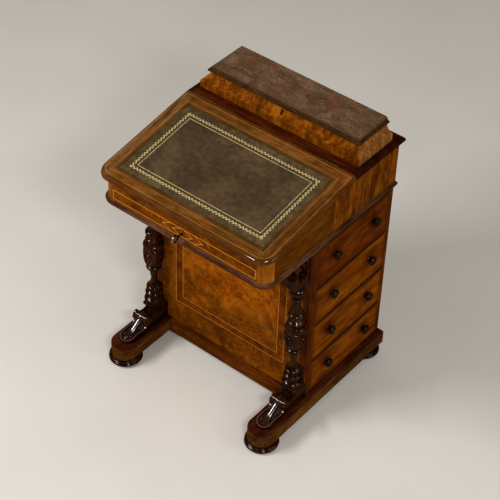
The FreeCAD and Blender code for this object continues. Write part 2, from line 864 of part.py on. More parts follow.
def lock_case():
    """A box of plates, open above for the bolt and bored in front for the key."""
    half = lock_width / 2
    bottom = key_z - lock_below_key
    back = lock_face + lock_depth
    case = block(-half, half, lock_face, back, bottom, lock_top)
    hollow = block(lock_plate - half, half - lock_plate, lock_face + lock_plate, back - lock_plate,
                   bottom + lock_plate, lock_top - lock_plate)
    slot = block(-bolt_width / 2 - bolt_play, bolt_width / 2 + bolt_play, bit_front - bolt_play,
                 bit_front + bolt_thickness + bolt_play, lock_top - lock_plate - overrun, lock_top + overrun)
    hole = frieze_keyhole(0, lock_face - overrun, lock_face + lock_plate + bolt_play)
    return case.cut(hollow).cut(slot).cut(hole)


def lock_bolt():
    """A plate that stands over the key's bit, its top just inside the lock."""
    half = bolt_width / 2
    return block(-half, half, bit_front, bit_front + bolt_thickness, bolt_bottom, lock_top - bolt_play)


def key():
    """Pin, bit, collar and a ring bow, lying along Y in the lock."""
    ahead = Vector(0, 1, 0)
    bow_y = case_front - key_stand + key_bow_radius + key_bow_wire
    pin_start = bow_y + key_bow_radius
    half = key_bit_width / 2
    pin = rod(key_pin_radius, Vector(0, pin_start, key_z), ahead, bit_front + key_bit_length - pin_start)
    bit = block(-half, half, bit_front, bit_front + key_bit_length, key_z - key_bit_drop, key_z)
    collar = rod(key_collar_radius, Vector(0, pin_start, key_z), ahead, key_collar_length)
    bow = Part.makeTorus(key_bow_radius, key_bow_wire, Vector(0, bow_y, key_z), across)
    return joined([pin, bit, collar, bow])


def escutcheon():
    """A thin lining let into the frieze round the keyhole."""
    back = case_front + escutcheon_depth
    ring = frieze_keyhole(escutcheon_rim, case_front, back)
    return ring.cut(frieze_keyhole(0, case_front - overrun, back + overrun))


def box_section(base, neck):
    """Section of a coved wall from its base line in to its neck line."""
    cove_bottom = shelf_top + stationery_base
    joint = box_joint - seat_clearance
    bulge = stationery_cove_sag_share if base > neck else -stationery_cove_sag_share
    return [(base, shelf_top, 0), (base, cove_bottom, 0), (neck, joint, bulge)]


def box_outside():
    """The coved outside of the stationery box as one form, the front corners mitred."""
    sides = slab_y(both_edges(box_section(box_side, box_neck_side)), box_front, box_back)
    front = box_section(box_front, box_neck_front)
    depth_steps = front + [(box_back, box_joint - seat_clearance, 0), (box_back, shelf_top, 0)]
    return sides.common(slab_x(depth_steps, -case_width, case_width))


def box_front_board(outside):
    """The front, mitred at both ends, housed for its lock and pierced by the keyhole."""
    reach = box_inside_front - box_front
    plan = [
        (-box_side, box_front, 0), (box_side, box_front, 0), (box_side - reach, box_inside_front, 0),
        (reach - box_side, box_inside_front, 0),
    ]
    board = outside.common(slab_z(plan, shelf_top, box_joint))
    half = box_lock_width / 2 + fit_clearance
    lock_front = box_inside_front - box_lock_depth - fit_clearance
    board = board.cut(block(-half, half, lock_front, box_inside_front + overrun,
                            box_joint - seat_clearance - box_lock_height - fit_clearance, box_joint))
    return board.cut(box_keyhole(box_front, lock_front + overrun))


def box_keyhole(y0, y1):
    slot_width = box_keyhole_radius
    return keyhole(box_keyhole_radius, slot_width, box_keyhole_slot, 0, box_joint - box_keyhole_drop, y0, y1)


def box_side_board(outside):
    """The right side, mitred to the front and running to the back edge."""
    reach = box_inside_front - box_front
    inner = box_side - reach
    plan = [
        (box_side, box_front, 0), (box_side, box_back, 0), (inner, box_back, 0), (inner, box_inside_front, 0),
    ]
    return outside.common(slab_z(plan, shelf_top, box_joint))


def box_back_board(outside):
    inner = box_side - (box_inside_front - box_front)
    board = outside.common(block(-inner, inner, box_inside_back, box_back, shelf_top, box_joint))
    for seat in at_box_hinges(lambda: hinge_seat(box_hinge_length, box_hinge_leaf, 1)):
        board = board.cut(seat)
    return board


def box_bottom_board():
    inner = box_side - (box_inside_front - box_front)
    return block(-inner, inner, box_inside_front, box_inside_back, shelf_top, shelf_top + stationery_bottom)


def box_dividers():
    inner = box_side - (box_inside_front - box_front)
    pitch = 2 * inner / stationery_compartments
    top = box_joint - seat_clearance - stationery_divider
    boards = []
    for count in range(1, stationery_compartments):
        x = count * pitch - inner
        boards.append(block(x - stationery_divider / 2, x + stationery_divider / 2, box_inside_front,
                            box_inside_back, shelf_top + stationery_bottom, top))
    return boards


def box_lock():
    """A small box lock let into the inside of the front."""
    half = box_lock_width / 2
    top = box_joint - seat_clearance
    lock = block(-half, half, box_inside_front - box_lock_depth, box_inside_front, top - box_lock_height, top)
    hole_front = box_inside_front - box_lock_depth
    return lock.cut(box_keyhole(hole_front - overrun, hole_front + box_lock_depth / 2))


def box_lid_section(base, sign):
    """Section of the lid's moulded edge: a lip below, a round above."""
    top = box_joint + stationery_lid_thickness
    lip = box_joint + stationery_lid_lip
    inset = stationery_lid_thickness - stationery_lid_lip - stationery_lid_round
    bulge = stationery_lid_sag_share * sign
    step = base - sign * stationery_lid_round
    return [
        (base, box_joint, 0), (base, lip, 2 * bulge), (step, lip + stationery_lid_round / 2, 0),
        (step - sign * inset, top, bulge),
    ]


def box_lid():
    """The lid of the stationery box, moulded on its front and ends, flush at the hinges."""
    side = box_neck_side + stationery_lid_overhang
    front = box_neck_front - stationery_lid_overhang
    lengthways = slab_y(both_edges(box_lid_section(side, 1)), front, box_back)
    depth_steps = [(box_back, box_joint, 0)] + box_lid_section(front, -1)
    depth_steps.append((box_back, box_joint + stationery_lid_thickness, 0))
    lid = lengthways.common(slab_x(depth_steps, -case_width, case_width))
    for seat in at_box_hinges(lambda: hinge_seat(box_hinge_length, box_hinge_leaf, -1)):
        lid = lid.cut(seat)
    return lid


def save_base():
    """Rails, plinths and feet."""
    rail = side_rail()
    save("side_rail_right", [rail])
    save("side_rail_left", [mirrored(rail)])
    plinths = (("plinth_front", pedestal_front - plinth_proud), ("plinth_back", case_back - plinth_thickness))
    for name, y in plinths:
        save(name, [block(-rail_inside, rail_inside, y, y + plinth_thickness, foot_height, rail_top)])
    feet = []
    for y in (rail_front + foot_inset, case_back - foot_inset):
        feet += both_sides(bun_foot(rail_x, y))
    save("bun_feet", feet)


def save_pedestal():
    """Panels, stiles, boards between drawers and the dummy drawers of the left side."""
    save("pedestal_front", [block(-pedestal_inside, pedestal_inside, pedestal_front,
                                  pedestal_front + panel_thickness, rail_top, case_bottom)])
    save("pedestal_back", [block(-pedestal_inside, pedestal_inside, case_back - back_thickness,
                                 case_back, rail_top, case_bottom)])
    floor_front = pedestal_front - plinth_proud + plinth_thickness
    save("pedestal_bottom", [block(-rail_inside, rail_inside, floor_front, case_back - plinth_thickness,
                                   rail_top - pedestal_floor, rail_top)])
    save("pedestal_left", [pedestal_left()])
    save("front_stiles", both_sides(front_stile()))
    save("back_stiles", both_sides(back_stile()))
    save("dust_boards", dust_boards())
    numbers = range(1, drawer_count + 1)
    save("dummy_drawer_fronts", [mirrored(front_board(number, dummy_thickness)) for number in numbers])
    save("dummy_knobs", [mirrored(knob(y, knob_height(number))) for number in numbers for y in knob_places()])


def save_drawers():
    for number in range(1, drawer_count + 1):
        name = "drawer_" + str(number)
        save(name + "_front", [front_board(number, drawer_front_thickness)])
        save(name + "_box", drawer_box(number))
        save(name + "_knobs", [knob(y, knob_height(number)) for y in knob_places()])


def save_supports():
    """Column, scroll toe and bracket on each side."""
    for name, shape in (("column", column()), ("scroll_toe", scroll_toe()), ("fret_bracket", fret_bracket())):
        save(name + "_right", [shape])
        save(name + "_left", [mirrored(shape)])


def save_case():
    """The writing case, its moulding, shelf, pigeonholes and lock."""
    inside = case_side - case_wall
    side = case_side_board()
    plan = rounded_plan(case_side, case_front, case_back, case_corner_radius)
    save("case_bottom", [slab_z(plan, case_bottom, case_inside)])
    save("case_front", [case_front_board()])
    save("case_corner_posts", both_sides(case_corner_post()))
    save("case_right", [side])
    save("case_left", [mirrored(side)])
    save("case_back", [block(-inside, inside, case_back - case_wall, case_back, case_inside, shelf_bottom)])
    save("case_moulding", case_mouldings())
    save("fixed_shelf", [fixed_shelf()])
    save("pigeonhole_partitions", partitions())
    save("lock_case", [lock_case()])
    save("lock_bolt", [lock_bolt()])
    save("key", [key()])
    save("keyhole_escutcheon", [escutcheon()])


def save_lid():
    save("writing_lid", [writing_lid()])
    save("lid_leather", [lid_leather()])
    for name, side in (("fixed", 1), ("moving", -1)):
        leaves = at_lid_hinges(lambda: hinge_leaf(lid_hinge_length, lid_hinge_leaf, side))
        save("lid_hinge_" + name + "_leaves", leaves)
    save("lid_hinge_pins", at_lid_hinges(lambda: hinge_pin(lid_hinge_length)))


def save_stationery_box():
    outside = box_outside()
    save("stationery_front", [box_front_board(outside)])
    save("stationery_sides", both_sides(box_side_board(outside)))
    save("stationery_back", [box_back_board(outside)])
    save("stationery_bottom", [box_bottom_board()])
    save("stationery_dividers", box_dividers())
    save("stationery_lock", [box_lock()])
    save("stationery_lid", [box_lid()])
    for name, side in (("fixed", 1), ("moving", -1)):
        leaves = at_box_hinges(lambda: hinge_leaf(box_hinge_length, box_hinge_leaf, side))
        save("stationery_hinge_" + name + "_leaves", leaves)
    save("stationery_hinge_pins", at_box_hinges(lambda: hinge_pin(box_hinge_length)))


os.makedirs("parts", exist_ok=True)
save_base()
save_pedestal()
save_drawers()
save_supports()
save_case()
save_lid()
save_stationery_box()
print("slope of the lid", round(slope_degrees, 2), "degrees")
print("hinge line at", round(hinge_y, 2), round(shelf_top, 2))
print("key axis height", round(key_z, 2), "bolt travel", round(bolt_travel, 2))
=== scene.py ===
# %% [markdown]
# A davenport desk, dressed over its solids. The construction is already there: every board, drawer, hinge
# and turned piece comes in as a solid of a fixed frame, in metres. The first step loads that frame and
# keeps the box it fills, because the finished looks have to stay inside it.

# %% Load the desk's solids
import json
import math

import bmesh
import bpy
from mathutils import Matrix, Vector


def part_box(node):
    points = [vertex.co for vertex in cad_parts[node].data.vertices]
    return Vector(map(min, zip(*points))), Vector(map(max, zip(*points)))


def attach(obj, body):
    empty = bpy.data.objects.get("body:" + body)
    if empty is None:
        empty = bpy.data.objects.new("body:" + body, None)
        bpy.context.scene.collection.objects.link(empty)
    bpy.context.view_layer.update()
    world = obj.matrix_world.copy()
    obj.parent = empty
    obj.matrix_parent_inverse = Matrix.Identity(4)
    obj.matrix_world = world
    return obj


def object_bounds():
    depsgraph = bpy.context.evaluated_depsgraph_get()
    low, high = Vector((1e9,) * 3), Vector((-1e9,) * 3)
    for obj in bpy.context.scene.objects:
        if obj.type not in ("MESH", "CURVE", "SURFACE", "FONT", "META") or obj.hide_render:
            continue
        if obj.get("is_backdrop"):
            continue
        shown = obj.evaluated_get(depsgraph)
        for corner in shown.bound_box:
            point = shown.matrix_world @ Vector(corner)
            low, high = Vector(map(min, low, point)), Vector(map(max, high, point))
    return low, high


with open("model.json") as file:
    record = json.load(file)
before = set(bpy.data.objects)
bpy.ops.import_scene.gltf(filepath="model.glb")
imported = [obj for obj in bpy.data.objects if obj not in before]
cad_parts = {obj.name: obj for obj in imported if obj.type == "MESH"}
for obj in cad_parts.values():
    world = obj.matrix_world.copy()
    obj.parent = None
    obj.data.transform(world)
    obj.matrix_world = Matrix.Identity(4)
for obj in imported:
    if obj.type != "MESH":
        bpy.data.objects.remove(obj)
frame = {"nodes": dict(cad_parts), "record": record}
nodes = frame["nodes"]
solid_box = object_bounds()

# %% [markdown]
# The photograph looks down on the desk's front right corner. A camera could be placed by eye, but three
# angles and a place say the same in numbers: a turn about the upright, a tilt down and a slight lean of the
# picture. The three columns of the camera's matrix are its right, its up and its back.

# %% Set up the camera
TURN, TILT, LEAN = 37.67, 41.92, 2.08
CAMERA_PLACE = (1.86031, -2.38931, 3.11311)
SENSOR_WIDTH, LENS = 36.0, 112.54
scene = bpy.context.scene
turn, tilt, lean = (math.radians(angle) for angle in (TURN, TILT, LEAN))
ahead = Vector((-math.sin(turn) * math.cos(tilt), math.cos(turn) * math.cos(tilt), -math.sin(tilt)))
level = Vector((math.cos(turn), math.sin(turn), 0.0))
upright = level.cross(ahead)
right = math.cos(lean) * level + math.sin(lean) * upright
up = math.cos(lean) * upright - math.sin(lean) * level
camera = bpy.data.objects.new("camera", bpy.data.cameras.new("camera"))
camera.data.sensor_width = SENSOR_WIDTH
camera.data.lens = LENS
axes = Matrix((right, up, -ahead)).transposed().to_4x4()
camera.matrix_world = Matrix.Translation(CAMERA_PLACE) @ axes
scene.collection.objects.link(camera)
scene.camera = camera
print("camera stands", round(camera.matrix_world.translation.length, 2), "m from the desk's foot")

# %% [markdown]
# Polished wood shows its form by highlights, so two bright soft boxes, wide and low, hang high in front, one
# on each side. The left one is mirrored in the sweep of the scroll toes, and the right one in the rounded
# corner of the lid. A large, weak one opens the shadows on the drawers. The surround is even and pale, and
# polish doesn't mirror it, because that would lay a grey veil over the dark wood. A plain tone curve keeps
# the deep colours of old walnut, which a film-like curve would wash out.

# %% Light the desk
DESK_MIDDLE = Vector((0.0, 0.0, 0.45))
SURROUND, SURROUND_STRENGTH = (1.0, 0.965, 0.91, 1.0), 0.34


def softbox(name, place, width, height, power):
    """A soft light at a place, turned towards the middle of the desk."""
    lamp = bpy.data.lights.new(name, "AREA")
    lamp.shape = "RECTANGLE"
    lamp.size = width
    lamp.size_y = height
    lamp.energy = power
    holder = bpy.data.objects.new(name, lamp)
    facing = (DESK_MIDDLE - Vector(place)).to_track_quat("-Z", "Y")
    holder.matrix_world = Matrix.Translation(place) @ facing.to_matrix().to_4x4()
    scene.collection.objects.link(holder)


softbox("window_light", (-1.5, -2.1, 2.7), width=1.5, height=0.38, power=78.0)
softbox("room_light", (2.3, -1.9, 3.0), width=0.8, height=0.25, power=52.0)
softbox("drawer_fill", (2.7, 0.4, 1.6), width=1.6, height=1.6, power=14.0)
world = bpy.data.worlds.new("surround")
world.use_nodes = True
world.node_tree.nodes["Background"].inputs["Color"].default_value = SURROUND
world.node_tree.nodes["Background"].inputs["Strength"].default_value = SURROUND_STRENGTH
scene.world = world
world.cycles_visibility.glossy = False
scene.view_settings.view_transform = "Standard"

# %% [markdown]
# Every finish is worked out from a point's place on the desk, so no picture is needed. Writing such sums
# node by node is slow to read. A small wrapper round a socket lets them be written as plain arithmetic:
# adding or multiplying two wires puts a Math node between them, and one method adds any other node.


# %% Wrap shader sockets
class Wire:
    """A socket of a finish. Arithmetic on wires adds Math nodes, and node() adds any other."""

    def __init__(self, tree, socket):
        self.tree = tree
        self.socket = socket

    def node(self, kind, settings, values, out=0):
        """Adds a node: its settings first, then the values or wires of its sockets."""
        made = self.tree.nodes.new(kind)
        for name, value in settings.items():
            if name == "stops":
                set_stops(made.color_ramp, value)
            else:
                setattr(made, name, value)
        for key, value in values.items():
            if isinstance(value, Wire):
                self.tree.links.new(value.socket, made.inputs[key])
            else:
                made.inputs[key].default_value = value
        return Wire(self.tree, made.outputs[out])

    def sum(self, operation, first, second=0.0):
        return self.node("ShaderNodeMath", {"operation": operation}, {0: first, 1: second})

    def __add__(self, other):
        return self.sum("ADD", self, other)

    __radd__ = __add__

    def __sub__(self, other):
        return self.sum("SUBTRACT", self, other)

    def __rsub__(self, other):
        return self.sum("SUBTRACT", other, self)

    def __mul__(self, other):
        return self.sum("MULTIPLY", self, other)

    __rmul__ = __mul__

    def __abs__(self):
        return self.sum("ABSOLUTE", self)

    def wave(self):
        return self.sum("SINE", self)

    def root(self):
        return self.sum("SQRT", self)

    def larger(self, other):
        return self.sum("MAXIMUM", self, other)

    def smaller(self, other):
        return self.sum("MINIMUM", self, other)

    def above(self, other):
        return self.sum("GREATER_THAN", self, other)


def set_stops(ramp, stops):
    """Puts the stops of a colour ramp in place: position and colour."""
    while len(ramp.elements) < len(stops):
        ramp.elements.new(1.0)
    for element, (position, colour) in zip(ramp.elements, stops):
        element.position = position
        element.color = colour


print("shader sums are ready")

# %% [markdown]
# Colours are given as the eight-bit values that a colour picker shows and turned into linear light. A rise
# is a soft step between two values, and a line is a band of a given width at a given distance, which draws
# stringing and gilding. A tint lays one colour over another through a mask. The Mix node has sockets for
# every kind of value, so those for colours are picked by number.

# %% Colours, steps and lines
SOFT_EDGE = 0.0004
MIX_FACTOR, MIX_BELOW, MIX_ABOVE, MIX_RESULT = 0, 6, 7, 2


def shade(red, green, blue):
    """A screen colour as linear light."""
    parts = [value / 255.0 for value in (red, green, blue)]
    return [p / 12.92 if p <= 0.04045 else ((p + 0.055) / 1.055) ** 2.4 for p in parts] + [1.0]


def rise(value, start, end):
    """A soft step from 0 at the start to 1 at the end."""
    values = {"Value": value, "From Min": start, "From Max": end, "To Min": 0.0, "To Max": 1.0}
    return value.node("ShaderNodeMapRange", {"interpolation_type": "SMOOTHSTEP"}, values)


def line(distance, at, width):
    """A band of a width round the distance that it lies at."""
    return 1.0 - rise(abs(distance - at), width / 2 - SOFT_EDGE, width / 2 + SOFT_EDGE)


def tint(mask, below, above, strength=1.0):
    """The second colour over the first where the mask is 1, as strongly as asked."""
    if strength < 1.0:
        mask = mask * strength
    colours = {MIX_FACTOR: mask, MIX_BELOW: below, MIX_ABOVE: above}
    return mask.node("ShaderNodeMix", {"data_type": "RGBA"}, colours, MIX_RESULT)


def tones(value, *colours):
    """Colours from dark to light, spread evenly over a tone from 0 to 1."""
    stops = [(place / (len(colours) - 1), shade(*colour)) for place, colour in enumerate(colours)]
    return value.node("ShaderNodeValToRGB", {"stops": stops}, {0: value})


print("mid grey as linear light:", round(shade(128, 128, 128)[0], 3))

# %% [markdown]
# Wood, leather and worn metal are uneven, which noise over the place on the desk can give. Its tones keep
# near their middle, so they are spread over the full range or cut into soft patches. Lines and bands need
# distances, so a place is split into its parts, and two parts at right angles give a length.


# %% Noise and distances
def noise(place, scale, detail=2.0, twist=0.0, out=0):
    """Uneven tones: finer with a higher scale, curlier with more twist."""
    values = {"Vector": place, "Scale": scale, "Detail": detail, "Distortion": twist}
    return place.node("ShaderNodeTexNoise", {}, values, out)


def full_range(tone, low=0.34, high=0.66):
    """Spreads a tone that keeps near its middle from 0 to 1."""
    return rise(tone, low, high)


def patches(place, scale, twist, start, end):
    """Soft patches, 0 outside and 1 inside."""
    return rise(noise(place, scale, detail=3.0, twist=twist), start, end)


def parts_of(place):
    """The x, y and z of a place."""
    split = place.node("ShaderNodeSeparateXYZ", {}, {"Vector": place})
    return [Wire(place.tree, socket) for socket in split.socket.node.outputs]


def length_of(first, second):
    """The length that two distances at right angles span."""
    return (first * first + second * second).root()


print("noise and distances are ready")

# %% [markdown]
# A finish starts from a new material and its place on the desk, and ends at the material's one shader. The
# place is read as Object coordinates, which for every solid are those of the whole desk. A fine relief goes
# through a Bump node.

# %% Begin and end a finish
RELIEF_STRENGTH, RELIEF_DEPTH = 0.5, 0.0001


def begin_finish(name):
    """A new finish and the wire of the place on the desk."""
    finish = bpy.data.materials.new(name)
    finish.use_nodes = True
    return finish, Wire(finish.node_tree, None).node("ShaderNodeTexCoord", {}, {}, "Object")


def end_finish(finish, colour, roughness, relief=None, depth=RELIEF_DEPTH, **more):
    """Feeds colour, roughness, relief and whatever else is named to the finish."""
    shader = finish.node_tree.nodes["Principled BSDF"]
    for name, value in {"Base_Color": colour, "Roughness": roughness, **more}.items():
        socket = shader.inputs[name.replace("_", " ")]
        if isinstance(value, Wire):
            finish.node_tree.links.new(value.socket, socket)
        else:
            socket.default_value = value
    if relief is not None:
        values = {"Height": relief, "Strength": RELIEF_STRENGTH, "Distance": depth}
        bump = relief.node("ShaderNodeBump", {}, values)
        finish.node_tree.links.new(bump.socket, shader.inputs["Normal"])
    return finish


print("relief is", RELIEF_DEPTH * 1000.0, "mm deep where nothing else is said")

# %% [markdown]
# Old walnut is a stack of patterns: a broad flow of dark and light along the board, mottled clouds, fine
# fibres, and short dark pores. Each is noise drawn out along the grain, which a Mapping node does by
# squeezing one axis. Long waxing leaves a low sheen rather than a mirror, so the clear coat is thin.

# %% Straight-grained walnut
X, Y, Z = 0, 1, 2
FIBRE_SHARE = 0.38
PORES, PORE_STRENGTH, PORE_DARKNESS = (0.60, 0.70), 0.55, 0.45
WAX = {"IOR": 1.03, "Coat_Weight": 0.015, "Coat_Roughness": 0.15}


def along_grain(place, along, stretch):
    """The place squeezed along the given axes, so that noise on it is drawn out there."""
    squeeze = [1.0, 1.0, 1.0]
    for axis in along:
        squeeze[axis] = 1.0 / stretch
    return place.node("ShaderNodeMapping", {}, {"Vector": place, "Scale": squeeze})


def walnut_tone(place, along, mottle):
    """Tone from 0, dark, to 1, light, of a board whose grain runs along the given axes, and its pores."""
    flow = noise(along_grain(place, along, stretch=6.0), scale=30.0, detail=3.0, twist=0.5)
    fibre = noise(along_grain(place, along, stretch=20.0), scale=340.0, detail=3.0)
    cloud = noise(along_grain(place, along, stretch=1.8), scale=42.0, detail=4.0, twist=0.9)
    specks = noise(along_grain(place, along, stretch=14.0), scale=820.0, detail=1.0)
    tone = flow * (1.0 - FIBRE_SHARE - mottle) + cloud * mottle + fibre * FIBRE_SHARE
    return full_range(tone), rise(specks, *PORES)


def old_walnut(tone, pores, dark, middle, light):
    """Brown from dark to light, with the pores darker still."""
    colour = tones(tone, dark, middle, light)
    return tint(pores, colour, shade(*[part * PORE_DARKNESS for part in dark]), PORE_STRENGTH)


def walnut(name, along, dark, middle, light, mottle=0.2, roughness=0.32):
    """A plain waxed board."""
    finish, place = begin_finish(name)
    tone, pores = walnut_tone(place, along, mottle)
    colour = old_walnut(tone, pores, dark, middle, light)
    return end_finish(finish, colour, roughness + 0.12 * tone, tone - pores, **WAX)


print("fibres make", FIBRE_SHARE, "of the tone of a board")

# %% [markdown]
# Boards without marks of their own take straight walnut as it is. Each kind has three tones, from dark to
# light, and its grain runs as a joiner lays it: upright in stiles and posts, along the plinth and the back.

# %% Plain walnut boards
back_walnut = walnut("back_walnut", [X], (62, 28, 4), (98, 50, 8), (130, 74, 18), mottle=0.3)
stile_walnut = walnut("stile_walnut", [Z], (56, 22, 5), (84, 38, 10), (110, 56, 20))
post_walnut = walnut("post_walnut", [Z], (106, 52, 7), (148, 84, 16), (178, 114, 32), mottle=0.3)
moulding_tones = (54, 28, 14), (80, 48, 29), (108, 73, 50)
moulding_walnut = walnut("moulding_walnut", [X, Y], *moulding_tones, mottle=0.1, roughness=0.24)
plinth_walnut = walnut("plinth_walnut", [X], (52, 19, 2), (80, 36, 4), (110, 58, 11))
pedestal_walnut = walnut("pedestal_walnut", [Z], (56, 24, 3), (88, 42, 6), (116, 64, 14), mottle=0.3)
print("plain walnut:", [finish.name for finish in bpy.data.materials if "walnut" in finish.name])

# %% [markdown]
# A drawer front is darker round each knob and along its edges, and the arris itself is paler. Such marks
# could be painted on, but distances follow the frame by themselves: to the front's own box, and to the axes
# of its two knobs.

# %% Distances on a drawer front
DRAWERS = range(1, 5)


def rectangle(first, second, low, high):
    """Distance outside a rectangle, negative inside it, from two coordinates and its corners."""
    across = abs(first - (low[0] + high[0]) / 2) - (high[0] - low[0]) / 2
    upward = abs(second - (low[1] + high[1]) / 2) - (high[1] - low[1]) / 2
    return across.larger(upward)


def front_marks(y, z, number):
    """Distance outside a drawer's front and distance from its nearer knob."""
    low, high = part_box("drawer_%d_front" % number)
    knob_low, knob_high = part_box("drawer_%d_knobs" % number)
    radius = (knob_high[Z] - knob_low[Z]) / 2
    apart = (knob_high[Y] - knob_low[Y]) / 2 - radius
    aside = abs(y - (knob_low[Y] + knob_high[Y]) / 2) - apart
    below = z - (knob_low[Z] + knob_high[Z]) / 2
    edge = rectangle(y, z, (low[Y], low[Z]), (high[Y], high[Z]))
    return edge, length_of(aside, below)


for number in DRAWERS:
    low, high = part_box("drawer_%d_front" % number)
    print("drawer", number, "front:", round(high[Y] - low[Y], 3), "x", round(high[Z] - low[Z], 3), "m")

# %% [markdown]
# When a drawer is pulled out, the pale ends of its sides show in the edges of its front as dovetails. They
# lie flush with the wood round them, so a change of tone is enough. A wave up the edge marks the tails, and
# a slope along their length gives them their flare.

# %% Dovetails
LINING = (140, 104, 62), (163, 124, 78), (184, 145, 98)
TAILS, TAIL_LENGTH, TAIL_FLARE, TAIL_SIDES = 4, 0.0115, 60.0, (0.28, 0.34)
EDGE_SKIN = 0.0004


def dovetails(x, y, z, number):
    """Where the pale tails of a drawer's sides show in the edges of its front."""
    low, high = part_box("drawer_%d_front" % number)
    on_edge = abs(y - (low[Y] + high[Y]) / 2).above((high[Y] - low[Y]) / 2 - EDGE_SKIN)
    deep = x - low[X]
    tails = (z - low[Z]) * (2.0 * math.pi * TAILS / (high[Z] - low[Z])) - math.pi / 2
    flared = rise(tails.wave() + deep * TAIL_FLARE, *TAIL_SIDES)
    return flared * on_edge * (TAIL_LENGTH - deep).above(0.0)


print("dovetails in each corner of a drawer:", TAILS)

# %% [markdown]
# Drawer fronts are figured walnut with these marks laid over it. The top drawer is painted darkest, as
# painted shade from the case above it. The dummy fronts on the left match the others and share one finish, so
# each point there takes its nearest front.

# %% Drawer fronts
KNOB_HALO, EDGE_DARKENING, ARRIS = (0.010, 0.036), (-0.010, -0.001), (-0.0012, 0.0012)


def drawer_finish(name, numbers, dark=(78, 35, 2), middle=(112, 55, 4), light=(142, 79, 10)):
    """Figured walnut with the marks of the numbered fronts, and with dovetails where there is one."""
    finish, place = begin_finish(name)
    x, y, z = parts_of(place)
    tone, pores = walnut_tone(place, [Y], mottle=0.3)
    colour = old_walnut(tone, pores, dark, middle, light)
    edge, reach = front_marks(y, z, numbers[0])
    for number in numbers[1:]:
        next_edge, next_reach = front_marks(y, z, number)
        edge, reach = edge.smaller(next_edge), reach.smaller(next_reach)
    colour = tint(1.0 - rise(reach, *KNOB_HALO), colour, shade(54, 14, 2), strength=0.55)
    colour = tint(rise(edge, *EDGE_DARKENING), colour, shade(46, 17, 2), strength=0.6)
    colour = tint(line(edge, *ARRIS), colour, shade(138, 82, 30), strength=0.35)
    if len(numbers) == 1:
        colour = tint(dovetails(x, y, z, numbers[0]), colour, tones(tone, *LINING))
    return end_finish(finish, colour, 0.3 + 0.14 * tone, tone - pores, **WAX)


drawer_finishes = {number: drawer_finish("drawer_%d_walnut" % number, [number]) for number in DRAWERS[1:]}
# The top drawer's darker tones are painted shade from the case above it.
drawer_finishes[1] = drawer_finish("drawer_1_walnut", [1], (62, 24, 2), (87, 37, 3), (112, 54, 7))
dummy_walnut = drawer_finish("dummy_drawer_walnut", list(DRAWERS))
print("drawer fronts:", sorted(finish.name for finish in drawer_finishes.values()))

# %% [markdown]
# Each side of the writing case has two veneers that meet in an upright joint: a plain brown one in front and
# a warmer, livelier one behind. Two meshes could carry them, but the joint is flush, so the place along the
# side picks the veneer.

# %% Case sides
CASE_JOINT, JOINT_WIDTH = 0.012, 0.0012


def case_side_finish(name):
    finish, place = begin_finish(name)
    y = parts_of(place)[Y]
    behind = y.above(CASE_JOINT)
    plain, plain_pores = walnut_tone(place, [Y], mottle=0.25)
    lively, lively_pores = walnut_tone(place, [Z], mottle=0.4)
    brown = old_walnut(plain, plain_pores, (58, 27, 2), (86, 44, 4), (110, 64, 10))
    warm = old_walnut(lively, lively_pores, (62, 26, 2), (100, 50, 6), (132, 74, 14))
    colour = tint(behind, brown, warm)
    colour = tint(line(y, CASE_JOINT, JOINT_WIDTH), colour, shade(44, 18, 2), strength=0.6)
    tone = plain + (lively - plain) * behind
    return end_finish(finish, colour, 0.32 + 0.12 * tone, tone, **WAX)


case_side_walnut = case_side_finish("case_side_walnut")
print("case joint at y =", CASE_JOINT)

# %% [markdown]
# The sledge rails are painted dark on top, as painted shade for the shadow that the case casts there, and
# browner on their flanks as lit. The shelf is a dark red brown, darker still at its ends, beyond the
# stationery box. One soft step over the height or the width divides each of them.

# %% Rails and shelf
RAIL_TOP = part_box("side_rail_right")[1][Z]
RAIL_SHOULDER = 0.004, 0.001
SHELF_END, SHELF_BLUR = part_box("stationery_front")[1][X], 0.004


def rail_finish(name):
    finish, place = begin_finish(name)
    tone, pores = walnut_tone(place, [Y], mottle=0.25)
    flank = old_walnut(tone, pores, (40, 19, 5), (74, 42, 14), (104, 66, 26))
    top = old_walnut(tone, pores, (34, 11, 4), (56, 20, 9), (80, 36, 16))
    # Painted shade: the top is darker than the lit flanks.
    painted_shade_on_top = rise(parts_of(place)[Z], *[RAIL_TOP - below for below in RAIL_SHOULDER])
    return end_finish(finish, tint(painted_shade_on_top, flank, top), 0.26 + 0.14 * tone, tone - pores, **WAX)


def shelf_finish(name):
    finish, place = begin_finish(name)
    tone, pores = walnut_tone(place, [X], mottle=0.2)
    colour = old_walnut(tone, pores, (36, 10, 2), (58, 19, 4), (84, 36, 10))
    ends = rise(abs(parts_of(place)[X]), SHELF_END - SHELF_BLUR, SHELF_END + SHELF_BLUR)
    colour = tint(ends, colour, shade(28, 9, 5), strength=0.6)
    return end_finish(finish, colour, 0.24 + 0.12 * tone, tone - pores, **WAX)


rail_walnut = rail_finish("rail_walnut")
shelf_walnut = shelf_finish("shelf_walnut")
print("rail top at z =", round(RAIL_TOP, 3), "shelf ends beyond x =", round(SHELF_END, 3))

# %% [markdown]
# Turned and carved work was stained nearly black and polished hard, so its shape shows by highlights. A
# smooth clear coat that mirrors well, over a nearly black base, gives them. The toes are painted paler along
# the rim of their round pads, a painted highlight, which is a line at one distance inside the toe's outline.

# %% Stained and polished work
POLISH = {"IOR": 1.02, "Coat_Weight": 0.2, "Coat_IOR": 2.2, "Coat_Roughness": 0.1}
toe_low, toe_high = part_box("scroll_toe_right")
TOE_X, TOE_HALF = (toe_low[X] + toe_high[X]) / 2, (toe_high[X] - toe_low[X]) / 2
TOE_FOOT, PAD_Y = toe_low[Z], toe_low[Y] + TOE_HALF
RIM_HIGHLIGHT, RIM_TOP = (0.0030, 0.0038), (0.018, 0.024)


